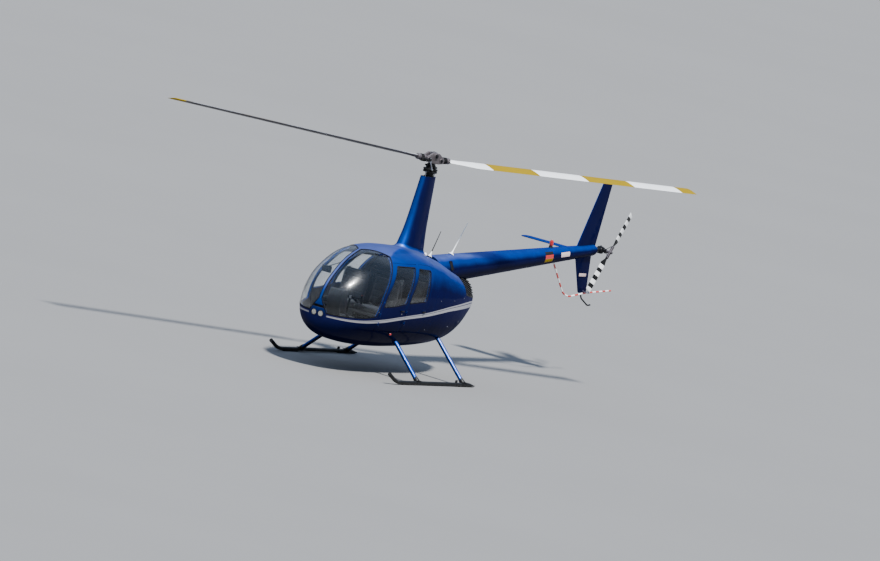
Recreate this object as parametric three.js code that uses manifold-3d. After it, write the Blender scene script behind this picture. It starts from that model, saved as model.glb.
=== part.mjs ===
// Light four-seat helicopter on skids: separate panels, doors, rotors and cabin fittings.
// Millimetres. +X is the nose, +Y is port, +Z is up. Z = 0 is the ground under the skids.
import * as THREE from 'three';
import { mergeVertices } from 'three/addons/utils/BufferGeometryUtils.js';
import Module from 'manifold-3d';

const wasm = await Module();
wasm.setup();

// Driving sizes
const MAST_X = 842.5; // the mast stands this far ahead of the middle of the whole length
const ROTOR_RADIUS = 5030;
const ROTOR_CHORD = 254;
const ROTOR_HEIGHT = 3209;
const ROTOR_AZIMUTH = -21.9; // degrees, forward blade towards starboard
const ROTOR_CONING = 2.33; // degrees
const ROTOR_TEETER = 1.33; // degrees, forward blade up
const ROTOR_PITCH = 8; // degrees, leading edge up
const HUB_LENGTH = 300; // of the bar that carries the two blade grips
const GRIP_END = 320; // from the rotor axis, along the blade
const SWASHPLATE_Z = 3043; // middle of the gap between its fixed and turning plates
const SWASHPLATE_RADIUS = 104;
const TAIL_RADIUS = 735;
const TAIL_CHORD = 130;
const TAIL_ROTOR = { x: -5890, y: 205, z: 1980 };
const TAIL_LEAN = 33.5; // degrees, upper blade towards the rear
const TAIL_PITCH = 8; // degrees
const NOSE_X = 2460;
const STERN_X = -1900;
const WALL = 32; // doors, cabin walls and cowls
const GAP = 8; // round each door
const STEP = 10; // the inner layer of a door stops this far inside its edge
const DOOR_SKIN = 12; // thickness of a door's outer layer
const SEAM = 0.4; // between panels that do not move
const PANE = 6; // window thickness
const SKID_TRACK = 2062; // between the skid tube centres
const SKID_RADIUS = 28;
const SKID_Z = 36; // height of the skid tubes' centre lines
const LEG_RADIUS = 30;
const FIREWALL_X = 80;
const SILL_Z = 900; // seam between the lower and upper cabin shell

const PAINT = 0x1c2f86;
const DARK = 0x17181c;
const METAL = 0x8d9298;
const WHITE = 0xe8e8e4;
const CLOTH = 0x2d2f36;
const GLASS = 0xbfd0dc;
const GLASS_LOOK = { transparent: true, opacity: 0.35, roughness: 0.08 };
const SIDES = [
  { name: 'port', sign: 1 },
  { name: 'starboard', sign: -1 },
];

// Fuselage sections: each quantity runs smoothly from one row to the next.
const SECTIONS = [
  { x: NOSE_X, top: 930, bottom: 930, half: 0, wide: 930, up: 2.0, down: 2.0 },
  { x: 2400, top: 1190, bottom: 640, half: 235, wide: 910, up: 2.1, down: 2.0 },
  { x: 2200, top: 1440, bottom: 485, half: 460, wide: 932, up: 2.1, down: 2.1 },
  { x: 1900, top: 1672, bottom: 425, half: 588, wide: 975, up: 2.2, down: 2.2 },
  { x: 1450, top: 1840, bottom: 386, half: 655, wide: 1025, up: 2.3, down: 2.3 },
  { x: 950, top: 1880, bottom: 374, half: 668, wide: 1052, up: 2.4, down: 2.4 },
  { x: 400, top: 1866, bottom: 384, half: 656, wide: 1052, up: 2.4, down: 2.4 },
  { x: -100, top: 1818, bottom: 408, half: 630, wide: 1050, up: 2.4, down: 2.4 },
  { x: -550, top: 1748, bottom: 444, half: 582, wide: 1050, up: 2.3, down: 2.4 },
  { x: -1000, top: 1645, bottom: 508, half: 494, wide: 1055, up: 2.2, down: 2.3 },
  { x: -1350, top: 1558, bottom: 612, half: 393, wide: 1072, up: 2.1, down: 2.2 },
  { x: -1620, top: 1486, bottom: 752, half: 298, wide: 1098, up: 2.1, down: 2.1 },
  { x: -1830, top: 1402, bottom: 935, half: 208, wide: 1135, up: 2.1, down: 2.0 },
  { x: STERN_X, top: 1150, bottom: 1150, half: 0, wide: 1150, up: 2.0, down: 2.0 },
];

// Side outlines: x, z and rounding of each corner
const SCREEN_OUTLINE = [
  [2700, 835], [2350, 838], [1961, 877], [1765, 915, 30], [1665, 1225, 120], [1226, 1851],
  [1226, 2100], [2700, 2100],
];
const FRONT_DOOR_OUTLINE = [
  [1694, 700, 60], [1694, 1018, 60], [1625, 1225, 80], [1292, 1700, 30], [642, 1700, 30], [967, 1260, 80],
  [1032, 1060, 60], [1032, 700, 60],
];
const REAR_DOOR_OUTLINE = [
  [988, 700, 60], [988, 1060, 60], [923, 1260, 80], [598, 1700, 30], [250, 1690, 40], [130, 1660, 40],
  [285, 1400, 90], [345, 1190, 80], [345, 700, 60],
];
const FRONT_WINDOW_OUTLINE = [
  [1632, 1064, 25], [1590, 1215, 70], [1238, 1668, 35], [708, 1664, 35], [985, 1262, 60], [1024, 1140, 25],
  [1300, 1090, 100],
];
const REAR_WINDOW_OUTLINE = [
  [936, 1143, 25], [892, 1262, 60], [598, 1648, 35], [209, 1628, 40], [345, 1400, 80], [412, 1182, 40],
];
const UPPER_COWL_OUTLINE = [
  [FIREWALL_X, 1660], [-261, 1590], [-475, 1526], [-715, 1453], [-961, 1389], [-1240, 1340],
  [-1240, 2100], [FIREWALL_X, 2100],
];
const GRILLE_OUTLINE = [
  [-1240, 2100], [-1240, 1340], [-1266, 1252], [-1760, 1190], [-2100, 1190], [-2100, 2100],
];
const BELLY_OUTLINE = [
  [FIREWALL_X + 50, 300], [FIREWALL_X + 50, 640], [-1300, 700], [-2000, 820], [-2000, 300],
];
// Side outline of the lower cabin part, up to the sill
const LOWER_OUTLINE = [
  [3000, 300], [3000, 835], [2350, 838], [1961, 877], [1765, 915], [1700, SILL_Z], [0, SILL_Z], [0, 300],
];
// Plan outline of the windscreen's opening, as x and y: its top edge runs back from the centre
const SCREEN_PLAN = [[3000, -900], [3000, 900], [729, 900], [1623, 0], [729, -900]];
// Front outline of the nose cap at the foot of the centre bow, as y and z
const NOSE_CAP = [[-152, 760], [152, 760], [145, 838], [28, 1040], [-28, 1040], [-145, 838]];

const group = new THREE.Group();
group.name = 'helicopter';

// Helpers for solids
const DEGREE = Math.PI / 180;

function solid(geometry) {
  const plain = new THREE.BufferGeometry();
  plain.setAttribute('position', geometry.getAttribute('position').clone());
  if (geometry.index) plain.setIndex(geometry.index.clone());
  const joined = mergeVertices(plain, 0.001);
  return new wasm.Manifold(new wasm.Mesh({
    numProp: 3,
    vertProperties: new Float32Array(joined.getAttribute('position').array),
    triVerts: new Uint32Array(joined.index.array),
  }));
}

function geometryOf(manifold) {
  const mesh = manifold.getMesh();
  const geometry = new THREE.BufferGeometry();
  const places = new Float32Array(mesh.numVert * 3);
  for (let i = 0; i < mesh.numVert; i += 1) {
    for (let k = 0; k < 3; k += 1) places[3 * i + k] = mesh.vertProperties[mesh.numProp * i + k];
  }
  geometry.setAttribute('position', new THREE.BufferAttribute(places, 3));
  geometry.setIndex(new THREE.BufferAttribute(new Uint32Array(mesh.triVerts), 1));
  return geometry;
}

function add(name, shape, colour, look = {}) {
  const geometry = shape.isBufferGeometry ? shape : geometryOf(shape);
  geometry.translate(MAST_X, 0, 0);
  geometry.computeVertexNormals();
  const material = new THREE.MeshStandardMaterial({ color: colour, roughness: 0.45, ...look });
  material.name = `${name}_material`;
  const mesh = new THREE.Mesh(geometry, material);
  mesh.name = name;
  group.add(mesh);
  return mesh;
}

// Closed skin through rings of points that all have the same number of points
function skin(rings) {
  const count = rings[0].length;
  const places = rings.flat().flatMap((p) => [p.x, p.y, p.z]);
  const faces = [];
  for (let i = 0; i + 1 < rings.length; i += 1) {
    for (let j = 0; j < count; j += 1) {
      const a = i * count + j;
      const b = i * count + ((j + 1) % count);
      faces.push(a, b, b + count, a, b + count, a + count);
    }
  }
  const last = (rings.length - 1) * count;
  for (let j = 1; j + 1 < count; j += 1) {
    faces.push(0, j + 1, j);
    faces.push(last, last + j, last + j + 1);
  }
  const geometry = new THREE.BufferGeometry();
  geometry.setAttribute('position', new THREE.Float32BufferAttribute(places, 3));
  geometry.setIndex(faces);
  let volume = 0;
  for (let i = 0; i < faces.length; i += 3) {
    const [a, b, c] = [0, 1, 2].map((k) => new THREE.Vector3().fromArray(places, 3 * faces[i + k]));
    volume += a.dot(b.cross(c));
  }
  if (volume < 0) {
    for (let i = 0; i < faces.length; i += 3) [faces[i + 1], faces[i + 2]] = [faces[i + 2], faces[i + 1]];
    geometry.setIndex(faces);
  }
  return geometry;
}

function block(length, width, height, x, y, z) {
  return new THREE.BoxGeometry(length, width, height).translate(x, y, z);
}

// Round bar from one point to another
function bar(from, to, radius, sides = 12) {
  const a = new THREE.Vector3(...from);
  const b = new THREE.Vector3(...to);
  const geometry = new THREE.CylinderGeometry(radius, radius, a.distanceTo(b), sides);
  const along = new THREE.Vector3().subVectors(b, a).normalize();
  geometry.applyQuaternion(new THREE.Quaternion().setFromUnitVectors(new THREE.Vector3(0, 1, 0), along));
  return geometry.translate((a.x + b.x) / 2, (a.y + b.y) / 2, (a.z + b.z) / 2);
}

// Round tube along straight runs with rounded bends
function tube(points, radius, bend, sides = 12, steps = 4) {
  const path = new THREE.CurvePath();
  let from = new THREE.Vector3(...points[0]);
  for (let i = 1; i + 1 < points.length; i += 1) {
    const corner = new THREE.Vector3(...points[i]);
    const next = new THREE.Vector3(...points[i + 1]);
    const before = from.clone().sub(corner).setLength(bend).add(corner);
    const after = next.clone().sub(corner).setLength(bend).add(corner);
    path.add(new THREE.LineCurve3(from, before));
    path.add(new THREE.QuadraticBezierCurve3(before, corner, after));
    from = after;
  }
  path.add(new THREE.LineCurve3(from, new THREE.Vector3(...points[points.length - 1])));
  const places = [];
  path.curves.forEach((curve, k) => {
    const parts = curve.isLineCurve3 ? 1 : steps;
    for (let i = k ? 1 : 0; i <= parts; i += 1) places.push(curve.getPoint(i / parts));
  });
  return skin(placesToRings(places, radius, sides));
}

function placesToRings(places, radius, sides) {
  const rings = [];
  let side = null;
  places.forEach((place, i) => {
    const ahead = places[Math.min(i + 1, places.length - 1)].clone().sub(place);
    const behind = place.clone().sub(places[Math.max(i - 1, 0)]);
    const along = ahead.lengthSq() ? ahead.clone().normalize() : new THREE.Vector3();
    if (behind.lengthSq()) along.add(behind.clone().normalize());
    along.normalize();
    if (!side) side = new THREE.Vector3(0.13, 0.31, 0.94);
    side.addScaledVector(along, -side.dot(along)).normalize();
    const other = new THREE.Vector3().crossVectors(along, side);
    const stretch = ahead.lengthSq() && behind.lengthSq()
      ? 1 / Math.cos(ahead.angleTo(behind) / 2) : 1;
    const ring = [];
    for (let k = 0; k < sides; k += 1) {
      const turn = (k / sides) * Math.PI * 2;
      ring.push(place.clone()
        .addScaledVector(side, Math.cos(turn) * radius * stretch)
        .addScaledVector(other, Math.sin(turn) * radius * stretch));
    }
    rings.push(ring);
  });
  return rings;
}

// Flat shape through an outline, each corner rounded by its own amount
function shapeOf(outline) {
  const shape = new THREE.Shape();
  const count = outline.length;
  outline.forEach(([x, z, bend = 0], i) => {
    const corner = new THREE.Vector2(x, z);
    const [before, after] = [count - 1, 1].map((step) => {
      const [nx, nz] = outline[(i + step) % count];
      return new THREE.Vector2(nx, nz).sub(corner).setLength(bend).add(corner);
    });
    if (i) shape.lineTo(before.x, before.y);
    else shape.moveTo(before.x, before.y);
    if (bend) shape.quadraticCurveTo(corner.x, corner.y, after.x, after.y);
  });
  shape.closePath();
  return shape;
}

// Prisms through a side outline (x, z), a plan outline (x, y) and a front outline (y, z)
function prism(outline, y0, y1) {
  const settings = { depth: Math.abs(y1 - y0), bevelEnabled: false, curveSegments: 3 };
  const geometry = new THREE.ExtrudeGeometry(shapeOf(outline), settings);
  return geometry.rotateX(Math.PI / 2).translate(0, Math.max(y0, y1), 0);
}

function planPrism(outline, z0, z1) {
  const settings = { depth: z1 - z0, bevelEnabled: false, curveSegments: 3 };
  return new THREE.ExtrudeGeometry(shapeOf(outline), settings).translate(0, 0, z0);
}

function frontPrism(outline, x0, x1) {
  const settings = { depth: x1 - x0, bevelEnabled: false, curveSegments: 3 };
  const geometry = new THREE.ExtrudeGeometry(shapeOf(outline), settings);
  return geometry.rotateX(Math.PI / 2).rotateZ(Math.PI / 2).translate(x0, 0, 0);
}

// Outline moved outwards (or inwards, when the distance is negative)
function grow(outline, distance) {
  const area = outline.reduce((sum, [x, z], i) => {
    const [nx, nz] = outline[(i + 1) % outline.length];
    return sum + x * nz - nx * z;
  }, 0);
  const sign = Math.sign(area);
  return outline.map(([x, z, bend = 0], i) => {
    const [px, pz] = outline[(i + outline.length - 1) % outline.length];
    const [nx, nz] = outline[(i + 1) % outline.length];
    const a = new THREE.Vector2(x - px, z - pz).normalize();
    const b = new THREE.Vector2(nx - x, nz - z).normalize();
    const na = new THREE.Vector2(a.y, -a.x);
    const nb = new THREE.Vector2(b.y, -b.x);
    const mid = na.clone().add(nb).normalize();
    const reach = (sign * distance) / mid.dot(na);
    return [x + mid.x * reach, z + mid.y * reach, bend];
  });
}

// Fuselage skin, set in from the outside by a distance
function smooth(stations, values, u) {
  const steps = stations.slice(1).map((s, i) => s - stations[i]);
  const slopes = steps.map((h, i) => (values[i + 1] - values[i]) / h);
  const tangents = values.map((v, i) => {
    if (i === 0) return slopes[0];
    if (i === values.length - 1) return slopes[i - 1];
    if (slopes[i - 1] * slopes[i] <= 0) return 0;
    const [h0, h1] = [steps[i - 1], steps[i]];
    return (3 * (h0 + h1)) / ((2 * h1 + h0) / slopes[i - 1] + (h1 + 2 * h0) / slopes[i]);
  });
  let i = 0;
  while (i < steps.length - 1 && u > stations[i + 1]) i += 1;
  const t = (u - stations[i]) / steps[i];
  return (1 + 2 * t) * (1 - t) ** 2 * values[i] + t * (1 - t) ** 2 * steps[i] * tangents[i]
    + t * t * (3 - 2 * t) * values[i + 1] + t * t * (t - 1) * steps[i] * tangents[i + 1];
}

function angleAt(x) {
  return Math.acos(Math.max(-1, Math.min(1, (2 * x - NOSE_X - STERN_X) / (NOSE_X - STERN_X))));
}

const stations = SECTIONS.map((row) => angleAt(row.x));

function sectionAt(x) {
  const u = angleAt(x);
  const row = {};
  for (const key of ['top', 'bottom', 'half', 'wide', 'up', 'down']) {
    row[key] = smooth(stations, SECTIONS.map((r) => r[key]), u);
  }
  return row;
}

function fuselage(inset, lengthwise = 28, around = 32) {
  const rings = [];
  for (let i = 0; i <= lengthwise; i += 1) {
    const share = (i / lengthwise) * Math.PI;
    const outer = (NOSE_X + STERN_X) / 2 + ((NOSE_X - STERN_X) / 2) * Math.cos(share);
    const x = outer - inset * Math.cos(share);
    const row = sectionAt(outer);
    const depth = inset * Math.sin(share);
    const ring = [];
    for (let k = 0; k < around; k += 1) {
      const turn = (k / around) * Math.PI * 2;
      const [c, s] = [Math.cos(turn), Math.sin(turn)];
      const power = s >= 0 ? row.up : row.down;
      const r = (Math.abs(c) ** power + Math.abs(s) ** power) ** (-1 / power);
      const least = i % lengthwise ? 1 : 0;
      const half = Math.max(row.half - depth, least);
      const height = s >= 0 ? row.top - row.wide : row.wide - row.bottom;
      const rise = Math.max(height - depth, least);
      ring.push(new THREE.Vector3(x, half * c * r, row.wide + rise * s * r));
    }
    rings.push(ring);
  }
  const nose = rings[0][0];
  const stern = rings[lengthwise][0];
  const places = [nose.x, nose.y, nose.z, stern.x, stern.y, stern.z];
  const faces = [];
  const body = rings.slice(1, lengthwise);
  body.forEach((ring) => ring.forEach((p) => places.push(p.x, p.y, p.z)));
  const at = (i, k) => 2 + i * around + (k % around);
  for (let k = 0; k < around; k += 1) {
    faces.push(0, at(0, k + 1), at(0, k));
    faces.push(1, at(body.length - 1, k), at(body.length - 1, k + 1));
    for (let i = 0; i + 1 < body.length; i += 1) {
      faces.push(at(i, k), at(i, k + 1), at(i + 1, k + 1), at(i, k), at(i + 1, k + 1), at(i + 1, k));
    }
  }
  const geometry = new THREE.BufferGeometry();
  geometry.setAttribute('position', new THREE.Float32BufferAttribute(places, 3));
  geometry.setIndex(faces);
  const made = solid(geometry);
  if (made.volume() > 0) return made;
  for (let i = 0; i < faces.length; i += 3) [faces[i + 1], faces[i + 2]] = [faces[i + 2], faces[i + 1]];
  geometry.setIndex(faces);
  return solid(geometry);
}

const outerSkin = fuselage(0);
const innerSkin = fuselage(WALL);
const shell = outerSkin.subtract(innerSkin);
const paneShell = fuselage(4).subtract(fuselage(4 + PANE));

const wide = 900;
const cut = (outline, y0 = -wide, y1 = wide) => solid(prism(outline, y0, y1));

// Cross tubes: legs and the run under the cabin floor
const LEGS = [
  { name: 'cross_tube_front', x: 819, kneeY: 500, kneeZ: 545 },
  { name: 'cross_tube_rear', x: -598, kneeY: 420, kneeZ: 610 },
];
function legPath(leg) {
  const foot = SKID_TRACK / 2;
  const points = [[foot, SKID_Z], [leg.kneeY, leg.kneeZ], [-leg.kneeY, leg.kneeZ], [-foot, SKID_Z]];
  return points.map(([y, z]) => [leg.x, y, z]);
}
const legHoles = LEGS.map((leg) => solid(tube(legPath(leg), LEG_RADIUS + 0.6, 60)))
  .reduce((all, one) => all.add(one));

// Cabin shell: lower part with the nose cap, and roof with the posts and the centre bow
const doorHole = cut(grow(FRONT_DOOR_OUTLINE, GAP)).add(cut(grow(REAR_DOOR_OUTLINE, GAP)));
const screenPlan = solid(planPrism(SCREEN_PLAN, 300, 2200));
const screenHole = cut(SCREEN_OUTLINE).intersect(screenPlan);
const bow = solid(block(1400, 56, 1400, 1900, 0, 1500));
const noseCap = solid(frontPrism(NOSE_CAP, 2100, 2600));
const noseCapGrown = solid(frontPrism(grow(NOSE_CAP, SEAM), 2099, 2601));
const cabinRange = solid(block(2600, 2 * wide, 2400, FIREWALL_X + SEAM + 1300, 0, 1200));
const lowerPart = cut(LOWER_OUTLINE).add(noseCap);
const lowerPartGrown = cut(grow(LOWER_OUTLINE, SEAM)).add(noseCapGrown);
const cabin = shell.intersect(cabinRange).subtract(doorHole);

// Door hinges: upright lines ahead of each door's front edge and outside the fuselage skin.
// A fixed barrel stands between two ears of the door.
const HINGES = [
  { door: 'front', x: 1699, y: 638, heights: [815, 950] },
  { door: 'rear', x: 993, y: 682, heights: [850, 1010] },
];
const BARREL = 22; // half length
const BARREL_RADIUS = 7;
const union = (pieces) => pieces.reduce((all, one) => all.add(one));
function hingeBarrels(low) {
  const pieces = [];
  for (const { sign } of SIDES) {
    for (const { x, y, heights } of HINGES) {
      for (const z of heights.filter((height) => (height < SILL_Z) === low)) {
        pieces.push(solid(bar([x, sign * y, z - BARREL], [x, sign * y, z + BARREL], BARREL_RADIUS, 8)));
        pieces.push(solid(block(18, 60, 14, x + 13.5, sign * (y - 29), z)));
      }
    }
  }
  return union(pieces);
}
function hingeEars({ x, y, heights }, sign) {
  const pieces = [];
  for (const height of heights) {
    for (const end of [-1, 1]) {
      const from = [x, sign * y, height + end * (BARREL + 0.4)];
      const to = [x, sign * y, height + end * (BARREL + 14)];
      pieces.push(solid(bar(from, to, BARREL_RADIUS, 8)));
      pieces.push(solid(block(30, 60, 9, x - 15.5, sign * (y - 29), height + end * (BARREL + 8))));
    }
  }
  return union(pieces);
}
add('cabin_lower', cabin.intersect(lowerPart).subtract(legHoles).add(hingeBarrels(true)), PAINT);
const roof = cabin.subtract(lowerPartGrown).subtract(screenHole.subtract(bow));
add('cabin_roof', roof.add(hingeBarrels(false)), PAINT);

// Windscreen halves
const paneSide = cut(grow(SCREEN_OUTLINE, -SEAM));
const panePlan = solid(planPrism(grow(SCREEN_PLAN, -SEAM), 299, 2201));
const screenPane = paneShell.intersect(paneSide).intersect(panePlan).subtract(noseCapGrown);
for (const { name, sign } of SIDES) {
  const half = solid(block(3000, wide, 2400, 1500, sign * (28 + SEAM + wide / 2), 1200));
  add(`windscreen_${name}`, screenPane.intersect(half), GLASS, GLASS_LOOK);
}

// Doors, each with its window: a thin outer layer, and the full wall set in from the edge
const DOORS = [
  { name: 'front', outline: FRONT_DOOR_OUTLINE, window: FRONT_WINDOW_OUTLINE },
  { name: 'rear', outline: REAR_DOOR_OUTLINE, window: REAR_WINDOW_OUTLINE },
];
const doorSkin = outerSkin.subtract(fuselage(DOOR_SKIN));
for (const { name, sign } of SIDES) {
  for (const door of DOORS) {
    const range = sign > 0 ? [10, wide] : [-wide, -10];
    const layer = doorSkin.intersect(cut(door.outline, ...range));
    const wall = shell.intersect(cut(grow(door.outline, -STEP), ...range));
    const panel = layer.add(wall).subtract(cut(door.window, ...range));
    const hinge = HINGES.find((row) => row.door === door.name);
    add(`door_${door.name}_${name}`, panel.add(hingeEars(hinge, sign)), PAINT);
    const pane = paneShell.intersect(cut(grow(door.window, -SEAM), ...range));
    add(`window_${door.name}_${name}`, pane, GLASS, GLASS_LOOK);
  }
}

// Tail cone: thin tapering tube with a closed round end
const CONE_FRONT = { x: -600, z: 1515, r: 226.6 };
const CONE_REAR = { x: -5720, z: 1963, r: 79 };
function coneRow(x) {
  const share = (x - CONE_FRONT.x) / (CONE_REAR.x - CONE_FRONT.x);
  return {
    x,
    z: CONE_FRONT.z + (CONE_REAR.z - CONE_FRONT.z) * share,
    r: CONE_FRONT.r + (CONE_REAR.r - CONE_FRONT.r) * share,
  };
}
function coneRings(inset, ahead) {
  const rows = [coneRow(CONE_FRONT.x + ahead), CONE_REAR, { x: -5800 + inset, z: 1970, r: 52 }];
  return rows.map((row) => {
    const ring = [];
    for (let k = 0; k < 20; k += 1) {
      const turn = (k / 20) * Math.PI * 2;
      const r = row.r - inset;
      ring.push(new THREE.Vector3(row.x, r * Math.cos(turn), row.z + r * Math.sin(turn)));
    }
    return ring;
  });
}
const CONE_WALL = 10;
const cone = solid(skin(coneRings(0, 0))).subtract(solid(skin(coneRings(CONE_WALL, 20))));
const coneFat = solid(skin(coneRings(-SEAM, 40)));
const coneInside = solid(bar([CONE_FRONT.x + 40, 0, CONE_FRONT.z - 3], [-1500, 0, 1593], 180));

// Engine bay: cowls behind the firewall and the louvred stern
const bay = shell.intersect(solid(block(2600, 2 * wide, 2400, FIREWALL_X - SEAM - 1300, 0, 1200)));
const upperCut = cut(UPPER_COWL_OUTLINE);
const sideRegion = bay
  .subtract(cut(grow(UPPER_COWL_OUTLINE, SEAM)))
  .subtract(cut(grow(GRILLE_OUTLINE, SEAM)))
  .subtract(cut(grow(BELLY_OUTLINE, SEAM)));
add('cowl_belly', bay.intersect(cut(BELLY_OUTLINE)).subtract(legHoles), PAINT);
for (const { name, sign } of SIDES) {
  const half = solid(block(3000, wide, 2400, -1200, sign * (SEAM + wide / 2), 1200));
  add(`cowl_${name}`, sideRegion.intersect(half).subtract(legHoles), PAINT);
}
const fairingHole = solid(block(900, 300, 400, -70, 0, 1800));
const deck = bay.intersect(upperCut).subtract(coneFat).subtract(coneInside);
add('cowl_upper', deck.subtract(fairingHole), PAINT);

// Louvred stern grille: slats in a frame that follows the fuselage, round the tail cone
const grilleSheet = fuselage(6).subtract(fuselage(26)).intersect(cut(grow(GRILLE_OUTLINE, -SEAM)));
const slots = [1215, 1250, 1285, 1320].map((z) => solid(block(560, 330, 18, -1780, 0, z)));
add('stern_grille', grilleSheet.subtract(coneFat).subtract(coneInside).subtract(union(slots)), DARK);

// Mast fairing: streamlined hollow tower over the mast
function foil(chord, thick, count, lead) {
  const points = [];
  for (let k = 0; k < count; k += 1) {
    const turn = (k / count) * Math.PI * 2;
    const along = (1 - Math.cos(turn)) / 2;
    const t = 5 * thick * (0.2969 * Math.sqrt(along) - 0.126 * along - 0.3516 * along ** 2
      + 0.2843 * along ** 3 - 0.1036 * along ** 4);
    points.push([lead - chord * along, (k <= count / 2 ? 1 : -1) * Math.max(t * chord, 2)]);
  }
  return points;
}
const FAIRING = [
  { z: 1640, lead: 500, chord: 900, thick: 0.3 },
  { z: 1870, lead: 440, chord: 790, thick: 0.3 },
  { z: 2150, lead: 345, chord: 640, thick: 0.3 },
  { z: 2550, lead: 265, chord: 520, thick: 0.31 },
  { z: 2950, lead: 200, chord: 420, thick: 0.32 },
];
function fairingRings(inset) {
  return FAIRING.map((row, i) => {
    const z = row.z + (i ? (i === FAIRING.length - 1 ? inset * 10 : 0) : -inset * 10);
    return foil(row.chord - 2 * inset, row.thick - (0.6 * inset) / row.chord, 18, row.lead - inset)
      .map(([x, y]) => new THREE.Vector3(x, y, z));
  });
}
const fairing = solid(skin(fairingRings(0))).subtract(solid(skin(fairingRings(14))));
add('mast_fairing', fairing.subtract(fuselage(-1)), PAINT);

// Mast tube with the fixed swashplate, and the engine as one plain block
const LOWER_PLATE = SWASHPLATE_Z - 4;
const mastProfile = [
  [0, 1240], [70, 1240], [70, 1480], [45, 1540], [36, 1600], [36, 2950.5], [60, 2950.5],
  [60, LOWER_PLATE - 30], [SWASHPLATE_RADIUS, LOWER_PLATE - 24], [SWASHPLATE_RADIUS, LOWER_PLATE - 4],
  [40, LOWER_PLATE - 4], [40, LOWER_PLATE], [26.5, LOWER_PLATE], [26.5, 2905], [0, 2905],
].map(([r, z]) => new THREE.Vector2(r, z));
add('mast_tube', new THREE.LatheGeometry(mastProfile, 20).rotateX(Math.PI / 2), METAL, { metalness: 0.8 });
const engineMounts = [1, -1].map((sign) => {
  const y = sign * 200;
  return solid(bar([-250, y, 820], [FIREWALL_X + 2 - SEAM, y, 820], 14));
});
const engine = solid(block(760, 720, 400, -560, 0, 940)).add(union(engineMounts));
add('engine', engine, METAL, { metalness: 0.6 });

// Fins, stabiliser and tail skid
function fin(rows) {
  return skin(rows.map((row) => foil(row.chord, row.thick, 16, row.lead)
    .map(([x, y]) => new THREE.Vector3(x, y, row.z))));
}
const finUpper = fin([
  { z: 1960, lead: -5150, chord: 560, thick: 0.07 },
  { z: 2960, lead: -5580, chord: 255, thick: 0.08 },
  { z: 3000, lead: -5610, chord: 215, thick: 0.06 },
]);
add('fin_upper', solid(finUpper).subtract(coneFat), PAINT);
const finLower = fin([
  { z: 1940, lead: -5160, chord: 540, thick: 0.07 },
  { z: 1330, lead: -5500, chord: 320, thick: 0.08 },
  { z: 1300, lead: -5530, chord: 280, thick: 0.06 },
]);
add('fin_lower', solid(finLower).subtract(coneFat), PAINT);
const stabiliser = foil(330, 0.09, 16, -4950).map(([x, t]) => [x, t]);
const stabiliserSkin = skin([-20, -940, -960].map((y, i) => stabiliser.map(([x, t]) => (
  new THREE.Vector3(i === 2 ? -5110 + (x + 5110) * 0.9 : x, y, 1940 + t * (i === 2 ? 0.6 : 1))))));
add('stabiliser', solid(stabiliserSkin).subtract(coneFat), PAINT);
add('tail_cone', cone, PAINT);

// Tail gearbox and tail rotor
const tailDrum = (radius, y0, y1, sides) => solid(new THREE.CylinderGeometry(radius, radius, y1 - y0, sides)
  .translate(TAIL_ROTOR.x, (y0 + y1) / 2, TAIL_ROTOR.z));
const gearbox = union([
  tailDrum(62, -40, 80, 16),
  tailDrum(26, 30, TAIL_ROTOR.y - 60, 16),
  tailDrum(14, 95, TAIL_ROTOR.y - 15, 12),
  solid(block(110, 80, 80, TAIL_ROTOR.x + 60, 0, TAIL_ROTOR.z - 10)),
]);
add('tail_gearbox', gearbox.subtract(coneFat), METAL, { metalness: 0.7 });

const lean = new THREE.Matrix4().makeRotationY(-TAIL_LEAN * DEGREE);
const toTail = new THREE.Matrix4().makeTranslation(TAIL_ROTOR.x, TAIL_ROTOR.y, TAIL_ROTOR.z).multiply(lean);
const tailHub = solid(new THREE.CylinderGeometry(24, 24, 96, 16))
  .add(solid(block(46, 36, 230, 0, 12, 0)))
  .subtract(solid(new THREE.CylinderGeometry(14.6, 14.6, 50, 12).translate(0, -39.6, 0)));
add('tail_rotor_hub', geometryOf(tailHub).applyMatrix4(toTail), METAL, { metalness: 0.8 });
const TAIL_BLADE_ROWS = [
  { z: 100, chord: 40, thick: 0.32 },
  { z: 150, chord: 60, thick: 0.26 },
  { z: 230, chord: TAIL_CHORD, thick: 0.13 },
  { z: TAIL_RADIUS, chord: TAIL_CHORD, thick: 0.1 },
];
const [tailCos, tailSin] = [Math.cos(TAIL_PITCH * DEGREE), Math.sin(TAIL_PITCH * DEGREE)];
for (const [name, turn] of [['a', 0], ['b', 180]]) {
  const blade = skin(TAIL_BLADE_ROWS.map(({ z, chord, thick }) => foil(chord, thick, 14, chord * 0.35)
    .map(([x, y]) => new THREE.Vector3(x * tailCos - y * tailSin, 12 + x * tailSin + y * tailCos, z))));
  const cleared = solid(blade).subtract(solid(block(47, 37, 231, 0, 12, 0)));
  const placed = geometryOf(cleared).rotateY(turn * DEGREE).applyMatrix4(toTail);
  add(`tail_blade_${name}`, placed, WHITE);
}

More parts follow.
